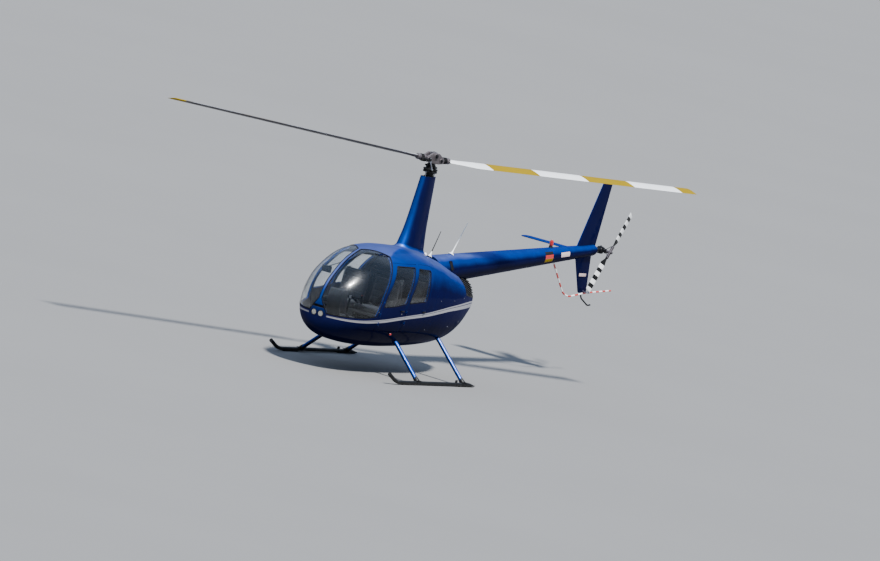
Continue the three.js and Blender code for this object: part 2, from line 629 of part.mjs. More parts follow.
// Main rotor: shaft with the turning swashplate, hub bar, grips and blades
const UPPER_PLATE = SWASHPLATE_Z + 3;
const shaftProfile = [
  [0, 2905.5], [26, 2905.5], [26, UPPER_PLATE], [SWASHPLATE_RADIUS, UPPER_PLATE],
  [SWASHPLATE_RADIUS, UPPER_PLATE + 24], [60, UPPER_PLATE + 30],
  [52, 3145], [27, 3150], [27, 3186], [0, 3186],
].map(([r, z]) => new THREE.Vector2(r, z));
const shaft = new THREE.LatheGeometry(shaftProfile, 20).rotateX(Math.PI / 2);
add('rotor_shaft', shaft, METAL, { metalness: 0.8 });
const atMast = new THREE.Matrix4().makeTranslation(0, 0, ROTOR_HEIGHT)
  .multiply(new THREE.Matrix4().makeRotationZ(ROTOR_AZIMUTH * DEGREE));
const teeter = new THREE.Matrix4().makeRotationY(-ROTOR_TEETER * DEGREE);
const atHub = atMast.clone().multiply(teeter);
const shaftHole = new THREE.CylinderGeometry(27.5, 27.5, 90, 20).rotateX(Math.PI / 2);
const hub = solid(block(HUB_LENGTH, 84, 60, 0, 0, 0).applyMatrix4(teeter))
  .add(solid(block(130, 190, 96, 0, 0, 12)))
  .subtract(solid(shaftHole.translate(0, 0, -67.6)));
add('rotor_hub', geometryOf(hub).applyMatrix4(atMast), METAL, { metalness: 0.8 });
const BLADE_ROWS = [
  { at: GRIP_END - 30, chord: 118, thick: 0.42, twist: 1 },
  { at: GRIP_END + 80, chord: 138, thick: 0.3, twist: 1 },
  { at: 760, chord: ROTOR_CHORD, thick: 0.12, twist: 1 },
  { at: 2900, chord: ROTOR_CHORD, thick: 0.12, twist: 0.9 },
  { at: ROTOR_RADIUS - 40, chord: ROTOR_CHORD, thick: 0.12, twist: 0.8 },
  { at: ROTOR_RADIUS, chord: ROTOR_CHORD * 0.9, thick: 0.08, twist: 0.8 },
];
function gripBarrel(extra) {
  const length = GRIP_END - HUB_LENGTH / 2 + 8 + extra;
  const barrel = new THREE.CylinderGeometry(46 + extra, 40 + extra, length, 16).rotateZ(-Math.PI / 2);
  return solid(barrel.translate(GRIP_END + extra - length / 2, 0, 0));
}
for (const [name, turn] of [['a', 0], ['b', 180]]) {
  const coning = new THREE.Matrix4().makeRotationY(-ROTOR_CONING * DEGREE);
  const place = atHub.clone().multiply(new THREE.Matrix4().makeRotationZ(turn * DEGREE)).multiply(coning);
  const hubSpace = solid(block(HUB_LENGTH + 1, 86, 62, 0, 0, 0).applyMatrix4(coning.clone().invert()));
  const grip = gripBarrel(0);
  const blade = skin(BLADE_ROWS.map(({ at, chord, thick, twist }) => {
    const pitch = ROTOR_PITCH * twist * DEGREE;
    const [c, s] = [Math.cos(pitch), Math.sin(pitch)];
    return foil(chord, thick, 20, chord * 0.28)
      .map(([x, y]) => new THREE.Vector3(at, x * c - y * s, x * s + y * c));
  }));
  add(`grip_${name}`, geometryOf(grip.subtract(hubSpace)).applyMatrix4(place), METAL, { metalness: 0.8 });
  add(`main_blade_${name}`, geometryOf(solid(blade).subtract(gripBarrel(0.6))).applyMatrix4(place), WHITE);
}

// Skids with flat wear shoes, and the cross tubes that stand on them
const SHOES = [{ x: 1100 }, { x: -650 }];
function skidTube(sign, radius) {
  const y = (sign * SKID_TRACK) / 2;
  return solid(tube([[-935, y, SKID_Z], [1480, y, SKID_Z], [1745, y, 155]], radius, 90));
}
for (const { name, sign } of SIDES) {
  const y = (sign * SKID_TRACK) / 2;
  let skid = skidTube(sign, SKID_RADIUS);
  for (const shoe of SHOES) skid = skid.add(solid(block(420, 44, 24, shoe.x, y, 12)));
  add(`skid_${name}`, skid, DARK);
}
for (const leg of LEGS) {
  let piece = solid(tube(legPath(leg), LEG_RADIUS, 60));
  for (const sign of [1, -1]) {
    const y = (sign * SKID_TRACK) / 2;
    piece = piece.subtract(skidTube(sign, SKID_RADIUS + 0.6));
    piece = piece.subtract(solid(block(400, 200, 60, leg.x, y, SKID_RADIUS - 22)));
    piece = piece.subtract(solid(block(400, 200, 200, leg.x, y + sign * 100, 40)));
  }
  add(leg.name, piece, PAINT);
}

// Tail rotor guard and tail skid
const guardPath = [[-4500, 0, 1740], [-4800, 60, 1300], [-5300, 130, 1250], [-6230, 130, 1360]];
const guard = tube(guardPath, 13, 90, 10);
add('tail_guard', solid(guard).subtract(coneFat), WHITE);
const tailSkid = tube([[-5640, 0, 1296], [-5760, 0, 1180], [-5960, 0, 1110], [-6010, 0, 1120]], 12, 30, 10);
add('tail_skid', solid(tailSkid).subtract(solid(fin([
  { z: 1940, lead: -5160, chord: 540, thick: 0.075 },
  { z: 1330, lead: -5499.5, chord: 321, thick: 0.085 },
  { z: 1299.4, lead: -5529.5, chord: 281, thick: 0.065 },
]))), DARK);

// Cabin: floor, firewall, seats, console
const inside = fuselage(WALL + 0.6);
const floorPlate = inside.intersect(solid(block(2150, 1300, 20, FIREWALL_X + 24 + 1075, 0, 668)));
add('cabin_floor', floorPlate, DARK);
const firewall = inside.intersect(solid(block(20, 1400, 1500, FIREWALL_X + 12, 0, 1150)));
add('firewall', firewall, METAL);

const SEAT_ROWS = [
  { name: 'front', back: 910, top: 1440 },
  { name: 'rear', back: 130, top: 1460 },
];
const SEAT_DEPTH = 500;
const SEAT_BASE_Z = 678.4;
const SEAT_BASE_HEIGHT = 230;
const SEAT_WIDTH = 460;
const SEAT_Y = 270;
const CUSHION_HEIGHT = 90;
for (const { name: row, back, top } of SEAT_ROWS) {
  const length = SEAT_DEPTH + 60;
  const middle = SEAT_BASE_Z + SEAT_BASE_HEIGHT / 2;
  const base = solid(block(length, 1010, SEAT_BASE_HEIGHT, back + 30 + length / 2, 0, middle));
  const rest = solid(prism([
    [back + 110, SEAT_BASE_Z], [back + 80, SEAT_BASE_Z], [back, top], [back + 30, top],
  ], -505, 505));
  add(`seat_frame_${row}`, base.add(rest), DARK);
  const cushionZ = SEAT_BASE_Z + SEAT_BASE_HEIGHT + 0.4;
  const lowZ = cushionZ + 99.2;
  const highZ = top - 10;
  for (const { name, sign } of SIDES) {
    const y = sign * SEAT_Y;
    const depth = SEAT_DEPTH - 40;
    const seat = block(depth, SEAT_WIDTH, CUSHION_HEIGHT, back + 140 + depth / 2, y, 0);
    add(`cushion_${row}_${name}`, seat.translate(0, 0, cushionZ + CUSHION_HEIGHT / 2), CLOTH);
    const backrest = prism([
      [back + 91.4, lowZ], [back + 170, lowZ], [back + 112, highZ], [back + 31.4, highZ],
    ], y - SEAT_WIDTH / 2, y + SEAT_WIDTH / 2);
    add(`backrest_${row}_${name}`, backrest, CLOTH);
  }
}
const consoleSide = [
  [1620, 678.4], [1620, 800], [1760, 850], [1860, 1180], [2000, 1200], [2030, 1100], [1960, 678.4],
];
add('console', prism(consoleSide, -110, 110), DARK);
const stickPost = solid(bar([1565.2, 0, 676], [1540, 0, 1085], 14));
const stickBar = solid(bar([1540, -200, 1080], [1540, 200, 1080], 13));
const stickFoot = solid(block(100, 100, 6, 1565, 0, 675.4));
add('cyclic_stick', stickPost.add(stickBar).subtract(stickFoot), DARK);

export default group;
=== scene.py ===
from math import atan2, ceil, copysign, cos, pi, radians, sin, sqrt

import bmesh
import bpy
import numpy as np
from mathutils import Matrix, Vector


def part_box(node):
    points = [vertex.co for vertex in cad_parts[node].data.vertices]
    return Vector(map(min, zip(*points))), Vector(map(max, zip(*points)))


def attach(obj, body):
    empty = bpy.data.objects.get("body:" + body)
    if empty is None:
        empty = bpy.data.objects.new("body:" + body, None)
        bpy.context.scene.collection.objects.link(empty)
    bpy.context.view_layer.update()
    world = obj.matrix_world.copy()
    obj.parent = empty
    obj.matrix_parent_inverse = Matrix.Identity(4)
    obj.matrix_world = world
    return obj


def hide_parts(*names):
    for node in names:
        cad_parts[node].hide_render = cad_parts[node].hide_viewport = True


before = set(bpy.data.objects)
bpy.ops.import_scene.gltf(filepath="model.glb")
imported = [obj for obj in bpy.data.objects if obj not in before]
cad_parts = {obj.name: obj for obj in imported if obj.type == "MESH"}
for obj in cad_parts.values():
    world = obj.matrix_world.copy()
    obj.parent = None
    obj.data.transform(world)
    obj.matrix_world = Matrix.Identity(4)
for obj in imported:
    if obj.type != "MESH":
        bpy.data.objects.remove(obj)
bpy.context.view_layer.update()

# Places are metres ahead of the mast (x), to port (y) and above the ground (z)
shaft_low, shaft_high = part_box("rotor_shaft")
MAST_X = (shaft_low.x + shaft_high.x) / 2
SIDES = (("port", 1), ("starboard", -1))
ORIGIN = (0, 0, 0)
X, Y, Z = Vector((1, 0, 0)), Vector((0, 1, 0)), Vector((0, 0, 1))


def add_object(name, data):
    item = bpy.data.objects.new(name, data)
    bpy.context.collection.objects.link(item)
    return item


def turned(degrees, axis, size=3):
    return Matrix.Rotation(radians(degrees), size, axis)


def facing(*columns):
    """The rotation that takes the axes to these directions."""
    return Matrix(columns).transposed()


def circle(count):
    return [2 * pi * k / count for k in range(count)]


# Camera: off the nose to port, above the horizon, and tilted, from far away
VIEW_TARGET = Vector((0, 0, 1.5))
VIEW_TURN, VIEW_RISE, VIEW_ROLL = radians(27.97), radians(5.47), radians(12.92)
VIEW_DISTANCE = 226.0
VIEW_SHIFT = (0.489, -0.137)
FOCAL_PIXELS, PICTURE_WIDTH = 15235, 880


def make_camera():
    back = Vector((cos(VIEW_RISE) * cos(VIEW_TURN), cos(VIEW_RISE) * sin(VIEW_TURN), sin(VIEW_RISE)))
    level = Vector((-sin(VIEW_TURN), cos(VIEW_TURN), 0))
    right = level * cos(VIEW_ROLL) + back.cross(level) * sin(VIEW_ROLL)
    up = back.cross(right)
    data = bpy.data.cameras.new("camera")
    data.sensor_width = 36
    data.lens = FOCAL_PIXELS * data.sensor_width / PICTURE_WIDTH
    data.clip_start, data.clip_end = 1, 3000
    camera = add_object("camera", data)
    place = VIEW_TARGET + X * MAST_X + back * VIEW_DISTANCE
    place += right * VIEW_SHIFT[0] + up * VIEW_SHIFT[1]
    camera.matrix_world = Matrix.Translation(place) @ facing(right, up, back).to_4x4()
    bpy.context.scene.camera = camera


# Materials


class Nodes:
    """A material's node tree, with short calls to add to it."""

    def __init__(self, name):
        self.material = bpy.data.materials.new(name)
        self.material.use_nodes = True
        self.tree = self.material.node_tree
        self.shader = self.tree.nodes["Principled BSDF"]
        source = self.tree.nodes.new("ShaderNodeTexCoord").outputs
        self.place, self.facing = source["Object"], source["Normal"]

    def add(self, kind, inputs=(), **settings):
        node = self.tree.nodes.new(kind)
        for key, value in settings.items():
            setattr(node, key, value)
        for key, value in dict(inputs).items():
            self.feed(node.inputs[key], value)
        return node

    def feed(self, socket, value):
        if isinstance(value, bpy.types.NodeSocket):
            self.tree.links.new(value, socket)
        else:
            socket.default_value = value

    def math(self, operation, *values):
        node = self.tree.nodes.new("ShaderNodeMath")
        node.operation = operation
        for socket, value in zip(node.inputs, values):
            self.feed(socket, value)
        return node.outputs[0]

    def noise(self, scale, detail=3.0, stretch=None):
        place = self.place
        if stretch:
            place = self.add("ShaderNodeMapping", {"Vector": place, "Scale": stretch}).outputs[0]
        inputs = {"Vector": place, "Scale": scale, "Detail": detail}
        return self.add("ShaderNodeTexNoise", inputs).outputs["Fac"]

    def spread(self, factor, low, high, start=0.35, end=0.65):
        inputs = {"Value": factor, "From Min": start, "From Max": end, "To Min": low, "To Max": high}
        return self.add("ShaderNodeMapRange", inputs).outputs[0]

    def blend(self, factor, first, second):
        node = self.add("ShaderNodeMix", data_type="RGBA")
        self.feed(node.inputs[0], factor)
        self.feed(node.inputs[6], first)
        self.feed(node.inputs[7], second)
        return node.outputs[2]

    def axes(self):
        return self.add("ShaderNodeSeparateXYZ", {"Vector": self.place}).outputs

    def bump(self, height, strength, distance=0.001):
        inputs = {"Height": height, "Strength": strength, "Distance": distance}
        self.feed(self.shader.inputs["Normal"], self.add("ShaderNodeBump", inputs).outputs[0])

    def set(self, **values):
        for key, value in values.items():
            self.feed(self.shader.inputs[key.replace("_", " ")], value)
        return self.material


def rgba(r, g, b):
    return (r, g, b, 1.0)


def rough_surface(name, colour, shade=0.75, rough=(0.4, 0.55), metal=0.0, grain=60, bump=0.15, coat=0.0,
                  **more):
    """A surface whose colour and gloss wander a little, with a fine grain."""
    n = Nodes(name)
    wander = n.spread(n.noise(grain / 12), 0, 1)
    dark = rgba(*[c * shade for c in colour])
    n.bump(n.noise(grain), bump)
    return n.set(Base_Color=n.blend(wander, dark, rgba(*colour)), Metallic=metal, Coat_Weight=coat,
                 Roughness=n.spread(n.noise(grain / 5), *rough), **more)


# The metallic blue's colours, from undersides over sides to faces that look up or forward, and level tops.
# They are painted light and shade: darker on undersides and sides, lighter where faces turn up or forward,
# and a pale painted sky reflection on level tops
BLUES = (0.0008, 0.003, 0.030), (0.0100, 0.0125, 0.090), (0.0005, 0.058, 0.335), (0.125, 0.175, 0.430)


def blue_paint(name, striped=False, coat=0.08, gloss=0.05):
    """Metallic blue under clear coat, with painted light and shade by the way each face turns, dusty near the
    ground, with the silver side stripe where asked.
    """
    n = Nodes(name)
    # Painted light and shade: faces turned up or forward get the lighter blues, undersides the darker ones
    ways = n.add("ShaderNodeSeparateXYZ", {"Vector": n.facing}).outputs
    forward = n.math("MULTIPLY", n.math("MAXIMUM", ways["X"], 0.0), 0.36)
    back = n.math("MULTIPLY", n.math("MINIMUM", ways["X"], 0.0), n.math("MAXIMUM", ways["Z"], 0.0))
    painted_light = n.math("MULTIPLY_ADD", back, -0.5, n.math("ADD", ways["Z"], forward))
    painted_light = n.math("ADD", painted_light, n.spread(n.noise(2.2), -0.04, 0.04))
    colour = rgba(*BLUES[0])
    x, y, z = list(n.axes())[:3]
    for shade, start, end in zip(BLUES[1:], (-0.35, 0.24, 0.72), (0.12, 0.56, 0.93)):
        share = n.spread(painted_light, 0, 1, start, end)
        if shade is BLUES[3]:
            # The palest blue is a painted sky reflection on level tops. Not on the tail, nor on the shoulders
            # beside the fairing, which fall away from the roof
            share = n.math("MULTIPLY", share, n.spread(x, 0, 1, MAST_X - 2.6, MAST_X - 1.7))
            edge = n.math("MULTIPLY_ADD", n.math("SUBTRACT", x, MAST_X + 0.79), 0.35, 0.19)
            beyond = n.spread(n.math("SUBTRACT", n.math("ABSOLUTE", y), edge), 0, 1, -0.012, 0.012)
            shoulder = n.math("MULTIPLY", beyond, n.spread(x, 0, 1, MAST_X + 0.30, MAST_X + 0.60))
            share = n.math("MULTIPLY", share, n.math("SUBTRACT", 1.0, n.math("MULTIPLY", shoulder, 0.85)))
        colour = n.blend(share, colour, rgba(*shade))
    rough = n.spread(n.noise(9), 0.46, 0.53)
    metal = 0.9
    if striped:
        mask = stripe_mask(n, x, y, z)
        colour = n.blend(mask, colour, rgba(0.40, 0.39, 0.40))
        metal = n.spread(mask, 0.9, 0.35, 0, 1)
    dust = n.math("MULTIPLY", n.spread(z, 0.06, 0.0, 0.38, 0.70), n.spread(n.noise(5), 0.3, 1))
    colour = n.blend(dust, colour, rgba(0.03, 0.025, 0.02))
    rough = n.math("ADD", rough, n.math("MULTIPLY", dust, 0.5))
    n.bump(n.noise(140, 2), 0.03)
    return n.set(Base_Color=colour, Metallic=metal, Roughness=rough, Coat_Weight=coat, Coat_Roughness=gloss,
                 Specular_Tint=rgba(0.03, 0.11, 0.42))


# The side stripe's middle line and width along the body: x, height of the middle, half width
STRIPE = [(2.46, 0.797, 0.010), (2.15, 0.806, 0.017), (1.65, 0.850, 0.025), (1.0, 0.925, 0.025),
          (0.3, 0.988, 0.029), (-0.187, 1.045, 0.033), (-0.5, 1.077, 0.036), (-0.8, 1.094, 0.040),
          (-1.2, 1.105, 0.045), (-1.9, 1.098, 0.048)]
STRIPE_LINE = 0.34  # the dark line between its two bands, as a share of the half width above the middle


def stripe_mask(n, x, y, z):
    xs = [row[0] + MAST_X for row in STRIPE]
    low, high = min(xs), max(xs)
    share = n.spread(x, 0, 1, low, high)
    lines = []
    for column, floor, span in ((1, 0.7, 0.6), (2, 0.0, 0.1)):
        curve = n.add("ShaderNodeFloatCurve", {"Value": share})
        points = curve.mapping.curves[0].points
        rows = sorted(((row[0] + MAST_X - low) / (high - low), (row[column] - floor) / span)
                      for row in STRIPE)
        while len(points) < len(rows):
            points.new(0.5, 0.5)
        for point, place in zip(points, rows):
            point.location = place
        curve.mapping.update()
        lines.append(n.math("MULTIPLY_ADD", curve.outputs[0], span, floor))
    middle, half = lines
    across = n.math("DIVIDE", n.math("SUBTRACT", z, middle), half)
    inside = n.spread(n.math("ABSOLUTE", across), 1, 0, 0.97, 1.03)
    line = n.spread(n.math("ABSOLUTE", n.math("SUBTRACT", across, STRIPE_LINE)), 0, 1, 0.09, 0.13)
    beside = n.spread(n.math("ABSOLUTE", y), 0, 1, 0.145, 0.160)
    return n.math("MULTIPLY", n.math("MULTIPLY", inside, line), beside)


def clear_pane(name, tint):
    n = Nodes(name)
    smear = n.spread(n.noise(3), 0.02, 0.06)
    return n.set(Base_Color=rgba(*tint), Roughness=smear, Transmission_Weight=1.0, IOR=1.2, Coat_Weight=0.30,
                 Coat_Roughness=0.21)


def woven_cloth(name, colour, pitch=900):
    n = Nodes(name)
    threads = {"Vector": n.place, "Scale": pitch / 20, "Distortion": 0.4}
    along = n.add("ShaderNodeTexWave", threads)
    across = n.add("ShaderNodeTexWave", threads, bands_direction="Y")
    weave = n.math("MULTIPLY", along.outputs["Fac"], across.outputs["Fac"])
    wear = n.spread(n.noise(14), 0.75, 1.1)
    shade = n.math("MULTIPLY", n.spread(weave, 0.6, 1.1, 0, 1), wear)
    tone = n.blend(shade, rgba(*[c * 0.35 for c in colour]), rgba(*colour))
    n.bump(weave, 0.4)
    return n.set(Base_Color=tone, Roughness=0.9, Sheen_Weight=0.3)


PAINT = blue_paint("blue_paint")
PAINT_STRIPED = blue_paint("blue_paint_striped", striped=True)
PAINT_LEGS = blue_paint("blue_paint_legs", coat=0.12, gloss=0.12)
GLASS = clear_pane("clear_acrylic", (0.93, 0.96, 0.97))
LINING = rough_surface("cabin_lining", (0.05, 0.052, 0.058), rough=(0.7, 0.85), grain=220, bump=0.4)
RUBBER = rough_surface("black_rubber", (0.008, 0.008, 0.009), rough=(0.6, 0.75), grain=160,
                       Specular_IOR_Level=0.15)
BLACK = rough_surface("black_paint", (0.006, 0.006, 0.006), rough=(0.42, 0.6), grain=40,
                      Specular_IOR_Level=0.25)
STEEL = rough_surface("worn_steel", (0.42, 0.43, 0.45), rough=(0.28, 0.45), metal=0.95, grain=120)
ALUMINIUM = rough_surface("cast_aluminium", (0.36, 0.37, 0.39), rough=(0.4, 0.58), metal=0.85, grain=200,
                          bump=0.3)
HUB_METAL = rough_surface("grey_casting", (0.115, 0.100, 0.105), rough=(0.42, 0.6), metal=0.5, grain=180,
                          bump=0.35)
DARK_METAL = rough_surface("dark_metal", (0.020, 0.020, 0.023), rough=(0.35, 0.5), metal=0.7, grain=120)
PLASTIC = rough_surface("dark_plastic", (0.03, 0.03, 0.033), rough=(0.45, 0.62), grain=300, bump=0.35)
WHITE = rough_surface("white_paint", (0.90, 0.90, 0.88), shade=0.95, rough=(0.3, 0.42), grain=30, coat=0.3)
YELLOW = rough_surface("yellow_paint", (0.25, 0.165, 0.0), shade=0.94, rough=(0.5, 0.6), grain=30,
                       Specular_IOR_Level=0.05)
RED = rough_surface("red_paint", (0.55, 0.03, 0.02), shade=0.85, rough=(0.28, 0.4), grain=30, coat=0.4)
CLOTH = woven_cloth("seat_cloth", (0.045, 0.046, 0.052))
PLATE = rough_surface("blank_plate", (0.62, 0.48, 0.46), shade=0.9, rough=(0.45, 0.6), grain=40)
RED_LENS = rough_surface("red_lens", (0.55, 0.01, 0.01), rough=(0.08, 0.15), grain=30, coat=0.8)
GREEN_LENS = rough_surface("green_lens", (0.01, 0.30, 0.06), rough=(0.08, 0.15), grain=30, coat=0.8)
REFLECTOR = rough_surface("lamp_reflector", (0.62, 0.61, 0.58), shade=0.8, rough=(0.10, 0.20), metal=1.0,
                          grain=60)
LENS = clear_pane("lamp_glass", (0.97, 0.97, 0.95))
STEEL_WORN = rough_surface("scuffed_steel", (0.22, 0.21, 0.20), rough=(0.35, 0.6), metal=0.8, grain=90,
                           bump=0.4)
SHELL = rough_surface("seat_shell", (0.040, 0.042, 0.047), rough=(0.6, 0.75), grain=260, bump=0.4)
WEBBING = woven_cloth("belt_webbing", (0.014, 0.014, 0.016), 2200)
PIPING = woven_cloth("seat_piping", (0.045, 0.046, 0.052), 2600)
PANEL_GREY = rough_surface("panel_grey", (0.075, 0.077, 0.08), rough=(0.5, 0.65), grain=240, bump=0.2)
DIAL = rough_surface("dial_black", (0.008, 0.008, 0.009), rough=(0.2, 0.3), grain=80)
GLASS_DARK = rough_surface("dark_screen", (0.010, 0.012, 0.016), rough=(0.06, 0.12), grain=40, coat=0.6)
CARPET = woven_cloth("cabin_carpet", (0.038, 0.039, 0.045), 1400)
UNDERSIDE = rough_surface("blade_underside", (0.024, 0.021, 0.026), rough=(0.4, 0.55), grain=50)


# Meshes


def read(items, key, width=3, kind=float):
    """One number or vector of each item, as an array."""
    values = np.empty(len(items) * width, kind)
    items.foreach_get(key, values)
    return values.reshape(-1, width) if width > 1 else values


def place_object(name, mesh, body, replaces=()):
    item = add_object(name, mesh)
    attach(item, body)
    if replaces:
        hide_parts(*replaces)
    return item


def smooth_shade(mesh, angle=38):
    mesh.polygons.foreach_set("use_smooth", [True] * len(mesh.polygons))
    mesh.set_sharp_from_angle(angle=radians(angle))


def face_outwards(mesh, weld=False):
    """Turn every face outwards, and merge shared points first where asked."""
    work = bmesh.new()
    work.from_mesh(mesh)
    if weld:
        bmesh.ops.remove_doubles(work, verts=work.verts, dist=1e-6)
    bmesh.ops.recalc_face_normals(work, faces=work.faces)
    work.to_mesh(mesh)
    work.free()


def bevelled_block(size, offset, segments):
    """A block with rounded edges, as a bmesh."""
    work = bmesh.new()
    bmesh.ops.create_cube(work, size=1)
    for v in work.verts:
        v.co = Vector([v.co[i] * size[i] for i in range(3)])
    bmesh.ops.bevel(work, geom=work.edges[:], offset=offset, segments=segments, affect="EDGES", profile=0.5)
    return work


def heading(path, i):
    """The way that a path of vectors runs at its point i."""
    return (path[min(i + 1, len(path) - 1)] - path[max(i - 1, 0)]).normalized()


def swing(side, other, count):
    """Directions all round, from side over other and back."""
    return [side * cos(t) + other * sin(t) for t in circle(count)]


def mirrored(half):
    """A profile and its mirror image: half has rows of radius and distance, from the end to the middle."""
    return [(r, -h) for r, h in half] + [(r, h) for r, h in reversed(half) if h]


def rounded(outline, steps=6):
    """Points round an outline of (x, z, rounding) corners, each corner an arc-like curve."""
    points = []
    corners = [(Vector(c[:2]), c[2] if len(c) > 2 else 0) for c in outline]
    for i, (corner, size) in enumerate(corners):
        if not size:
            points.append(corner.copy())
            continue
        before = corner + (corners[i - 1][0] - corner).normalized() * size
        after = corner + (corners[(i + 1) % len(corners)][0] - corner).normalized() * size
        points += curve(before, corner, after, steps)
    return points


def curve(a, corner, b, steps):
    """Points from a to b, bent towards the corner."""
    return [a * (1 - t) ** 2 + corner * 2 * t * (1 - t) + b * t * t
            for t in [k / steps for k in range(steps + 1)]]


def bent(points, bend, steps=8):
    """A path through the points with rounded bends."""
    points = [Vector(p) for p in points]
    path = [points[0]]
    for before, corner, after in zip(points, points[1:], points[2:]):
        path += curve(corner + (before - corner).normalized() * bend, corner,
                      corner + (after - corner).normalized() * bend, steps)
    return path + [points[-1]]


def grown(outline, distance):
    """The outline moved outwards by a distance, keeping each corner's rounding."""
    area = sum(a[0] * b[1] - b[0] * a[1] for a, b in zip(outline, outline[1:] + outline[:1]))
    result = []
    for i, corner in enumerate(outline):
        here = Vector(corner[:2])
        a = (here - Vector(outline[i - 1][:2])).normalized()
        b = (Vector(outline[(i + 1) % len(outline)][:2]) - here).normalized()
        na, nb = Vector((a.y, -a.x)), Vector((b.y, -b.x))
        middle = (na + nb).normalized()
        moved = here + middle * (copysign(distance, distance * area) / middle.dot(na))
        result.append((moved.x, moved.y, *corner[2:]))
    return result


def lifted(outline, low, high, axes="xz"):
    """Two loops of points: the rounded outline in the named plane, at low and at high on the third axis."""
    first, second = ["xyz".index(a) for a in axes]
    points = []
    for level in (low, high):
        for p in rounded(outline):
            row = [level] * 3
            row[first], row[second] = p
            points.append(row)
    return points


def lifted_faces(points):
    count = len(points) // 2
    return [tuple(range(count)), tuple(range(2 * count - 1, count - 1, -1))] + [
        (i, i + count, (i + 1) % count + count, (i + 1) % count) for i in range(count)]


LEAST_RADIUS = 0.0004  # of a turned shape


class Form:
    """Points and faces of one piece, gathered from simple shapes in mast coordinates."""

    def __init__(self, material=None):
        self.points, self.faces, self.kinds, self.materials = [], [], [], []
        if material:
            self.use(material)

    def use(self, material):
        if material not in self.materials:
            self.materials.append(material)
        self.current = self.materials.index(material)
        return self

    def mesh(self, points, faces):
        start = len(self.points)
        self.points.extend([tuple(p) for p in points])
        self.faces.extend([tuple(start + i for i in face) for face in faces])
        self.kinds.extend([self.current] * len(faces))
        return self

    def take(self, work, centre=ORIGIN, turn=Matrix.Identity(3)):
        """Add what a bmesh holds, turned about the origin and moved."""
        work.verts.index_update()
        self.mesh([Vector(centre) + turn @ v.co for v in work.verts],
                  [[v.index for v in f.verts] for f in work.faces])
        work.free()
        return self

    def rings(self, rings, closed=True):
        """A skin through rings with equal numbers of points, with its end faces where closed."""
        count = len(rings[0])
        faces = []
        for i in range(0, (len(rings) - 1) * count, count):
            faces += [(i + j, i + (j + 1) % count, i + count + (j + 1) % count, i + count + j)
                      for j in range(count)]
        if closed:
            faces.append(tuple(range(count - 1, -1, -1)))
            faces.append(tuple((len(rings) - 1) * count + j for j in range(count)))
        return self.mesh([p for ring in rings for p in ring], faces)

    def painted_rings(self, rings, paint_at, first, last):
        """Faces between rings in the material that paint_at(ring, point) gives, and the two end faces."""
        count = len(rings[0])
        for i, (a, b) in enumerate(zip(rings, rings[1:])):
            for j in range(count):
                k = (j + 1) % count
                self.use(paint_at(i, j)).mesh([a[j], a[k], b[k], b[j]], [(0, 1, 2, 3)])
        self.use(last).mesh(rings[-1], [tuple(range(count))])
        return self.use(first).mesh(rings[0], [tuple(range(count - 1, -1, -1))])

    def tube(self, path, radius, sides=16):
        path = [Vector(p) for p in path]
        radii = radius if isinstance(radius, list) else [radius] * len(path)
        side, rings = None, []
        for i, (point, r) in enumerate(zip(path, radii)):
            along = heading(path, i)
            if side is None:
                side = along.orthogonal().normalized()
            side = (side - along * side.dot(along)).normalized()
            rings.append([point + way * r for way in swing(side, along.cross(side), sides)])
        return self.rings(rings)

    def lathe(self, profile, centre=ORIGIN, axis=Z, sides=32):
        """Turned shape: profile rows are radius and distance along the axis."""
        axis = Vector(axis).normalized()
        side = axis.orthogonal().normalized()
        ways = swing(side, axis.cross(side), sides)
        return self.rings([[Vector(centre) + axis * h + way * max(r, LEAST_RADIUS) for way in ways]
                           for r, h in profile])

    def box(self, size, centre, turn=Matrix.Identity(3), bevel=0.002):
        return self.take(bevelled_block(size, min(bevel, min(size) * 0.3), 2), centre, turn)

    def plate(self, outline, low, high, bevel):
        """A plate with rounded edges: an outline of x and z, from low to high in y."""
        points = lifted(outline, low, high)
        work = bmesh.new()
        verts = [work.verts.new(p) for p in points]
        for face in lifted_faces(points):
            work.faces.new([verts[i] for i in face])
        bmesh.ops.recalc_face_normals(work, faces=work.faces)
        edges = [e for e in work.edges if e.calc_face_angle(0) > 0.35]
        bmesh.ops.bevel(work, geom=edges, offset=bevel, segments=3, affect="EDGES", profile=0.5)
        return self.take(work)

    def bolt(self, centre, axis, size, height=None):
        """Hexagon head on a washer, standing along the axis."""
        height = height or size * 0.7
        self.lathe([(0, 0), (size * 1.05, 0), (size * 1.05, height * 0.2), (0, height * 0.2)], centre, axis,
                   16)
        top = Vector(centre) + Vector(axis).normalized() * height * 0.2
        return self.lathe([(0, 0), (size * 0.9, 0), (size * 0.9, height * 0.7), (size * 0.7, height),
                           (0, height)], top, axis, 6)

    def dome(self, point, normal, size):
        """Rivet or screw head."""
        return self.lathe([(size, -0.0006), (size * 0.92, size * 0.3), (size * 0.5, size * 0.55),
                           (0, size * 0.6)], point, normal, 8)

    def skin_dome(self, x, z, sign, size):
        """A rivet or screw head on the side of the fuselage."""
        spot = skin_side(x, z, sign)
        return self.dome(spot, skin_normal(spot)[0], size)

    def piece(self, name, body, slot, replaces=(), angle=38, place=Matrix.Identity(4), weld=False):
        mesh = bpy.data.meshes.new(name)
        mesh.from_pydata([place @ Vector(p) + Vector((MAST_X, 0, 0)) for p in self.points], [], self.faces)
        for material in self.materials:
            mesh.materials.append(material)
        mesh.polygons.foreach_set("material_index", self.kinds)
        face_outwards(mesh, weld)
        smooth_shade(mesh, angle)
        return place_object(name, mesh, body, replaces)


# Fuselage surface

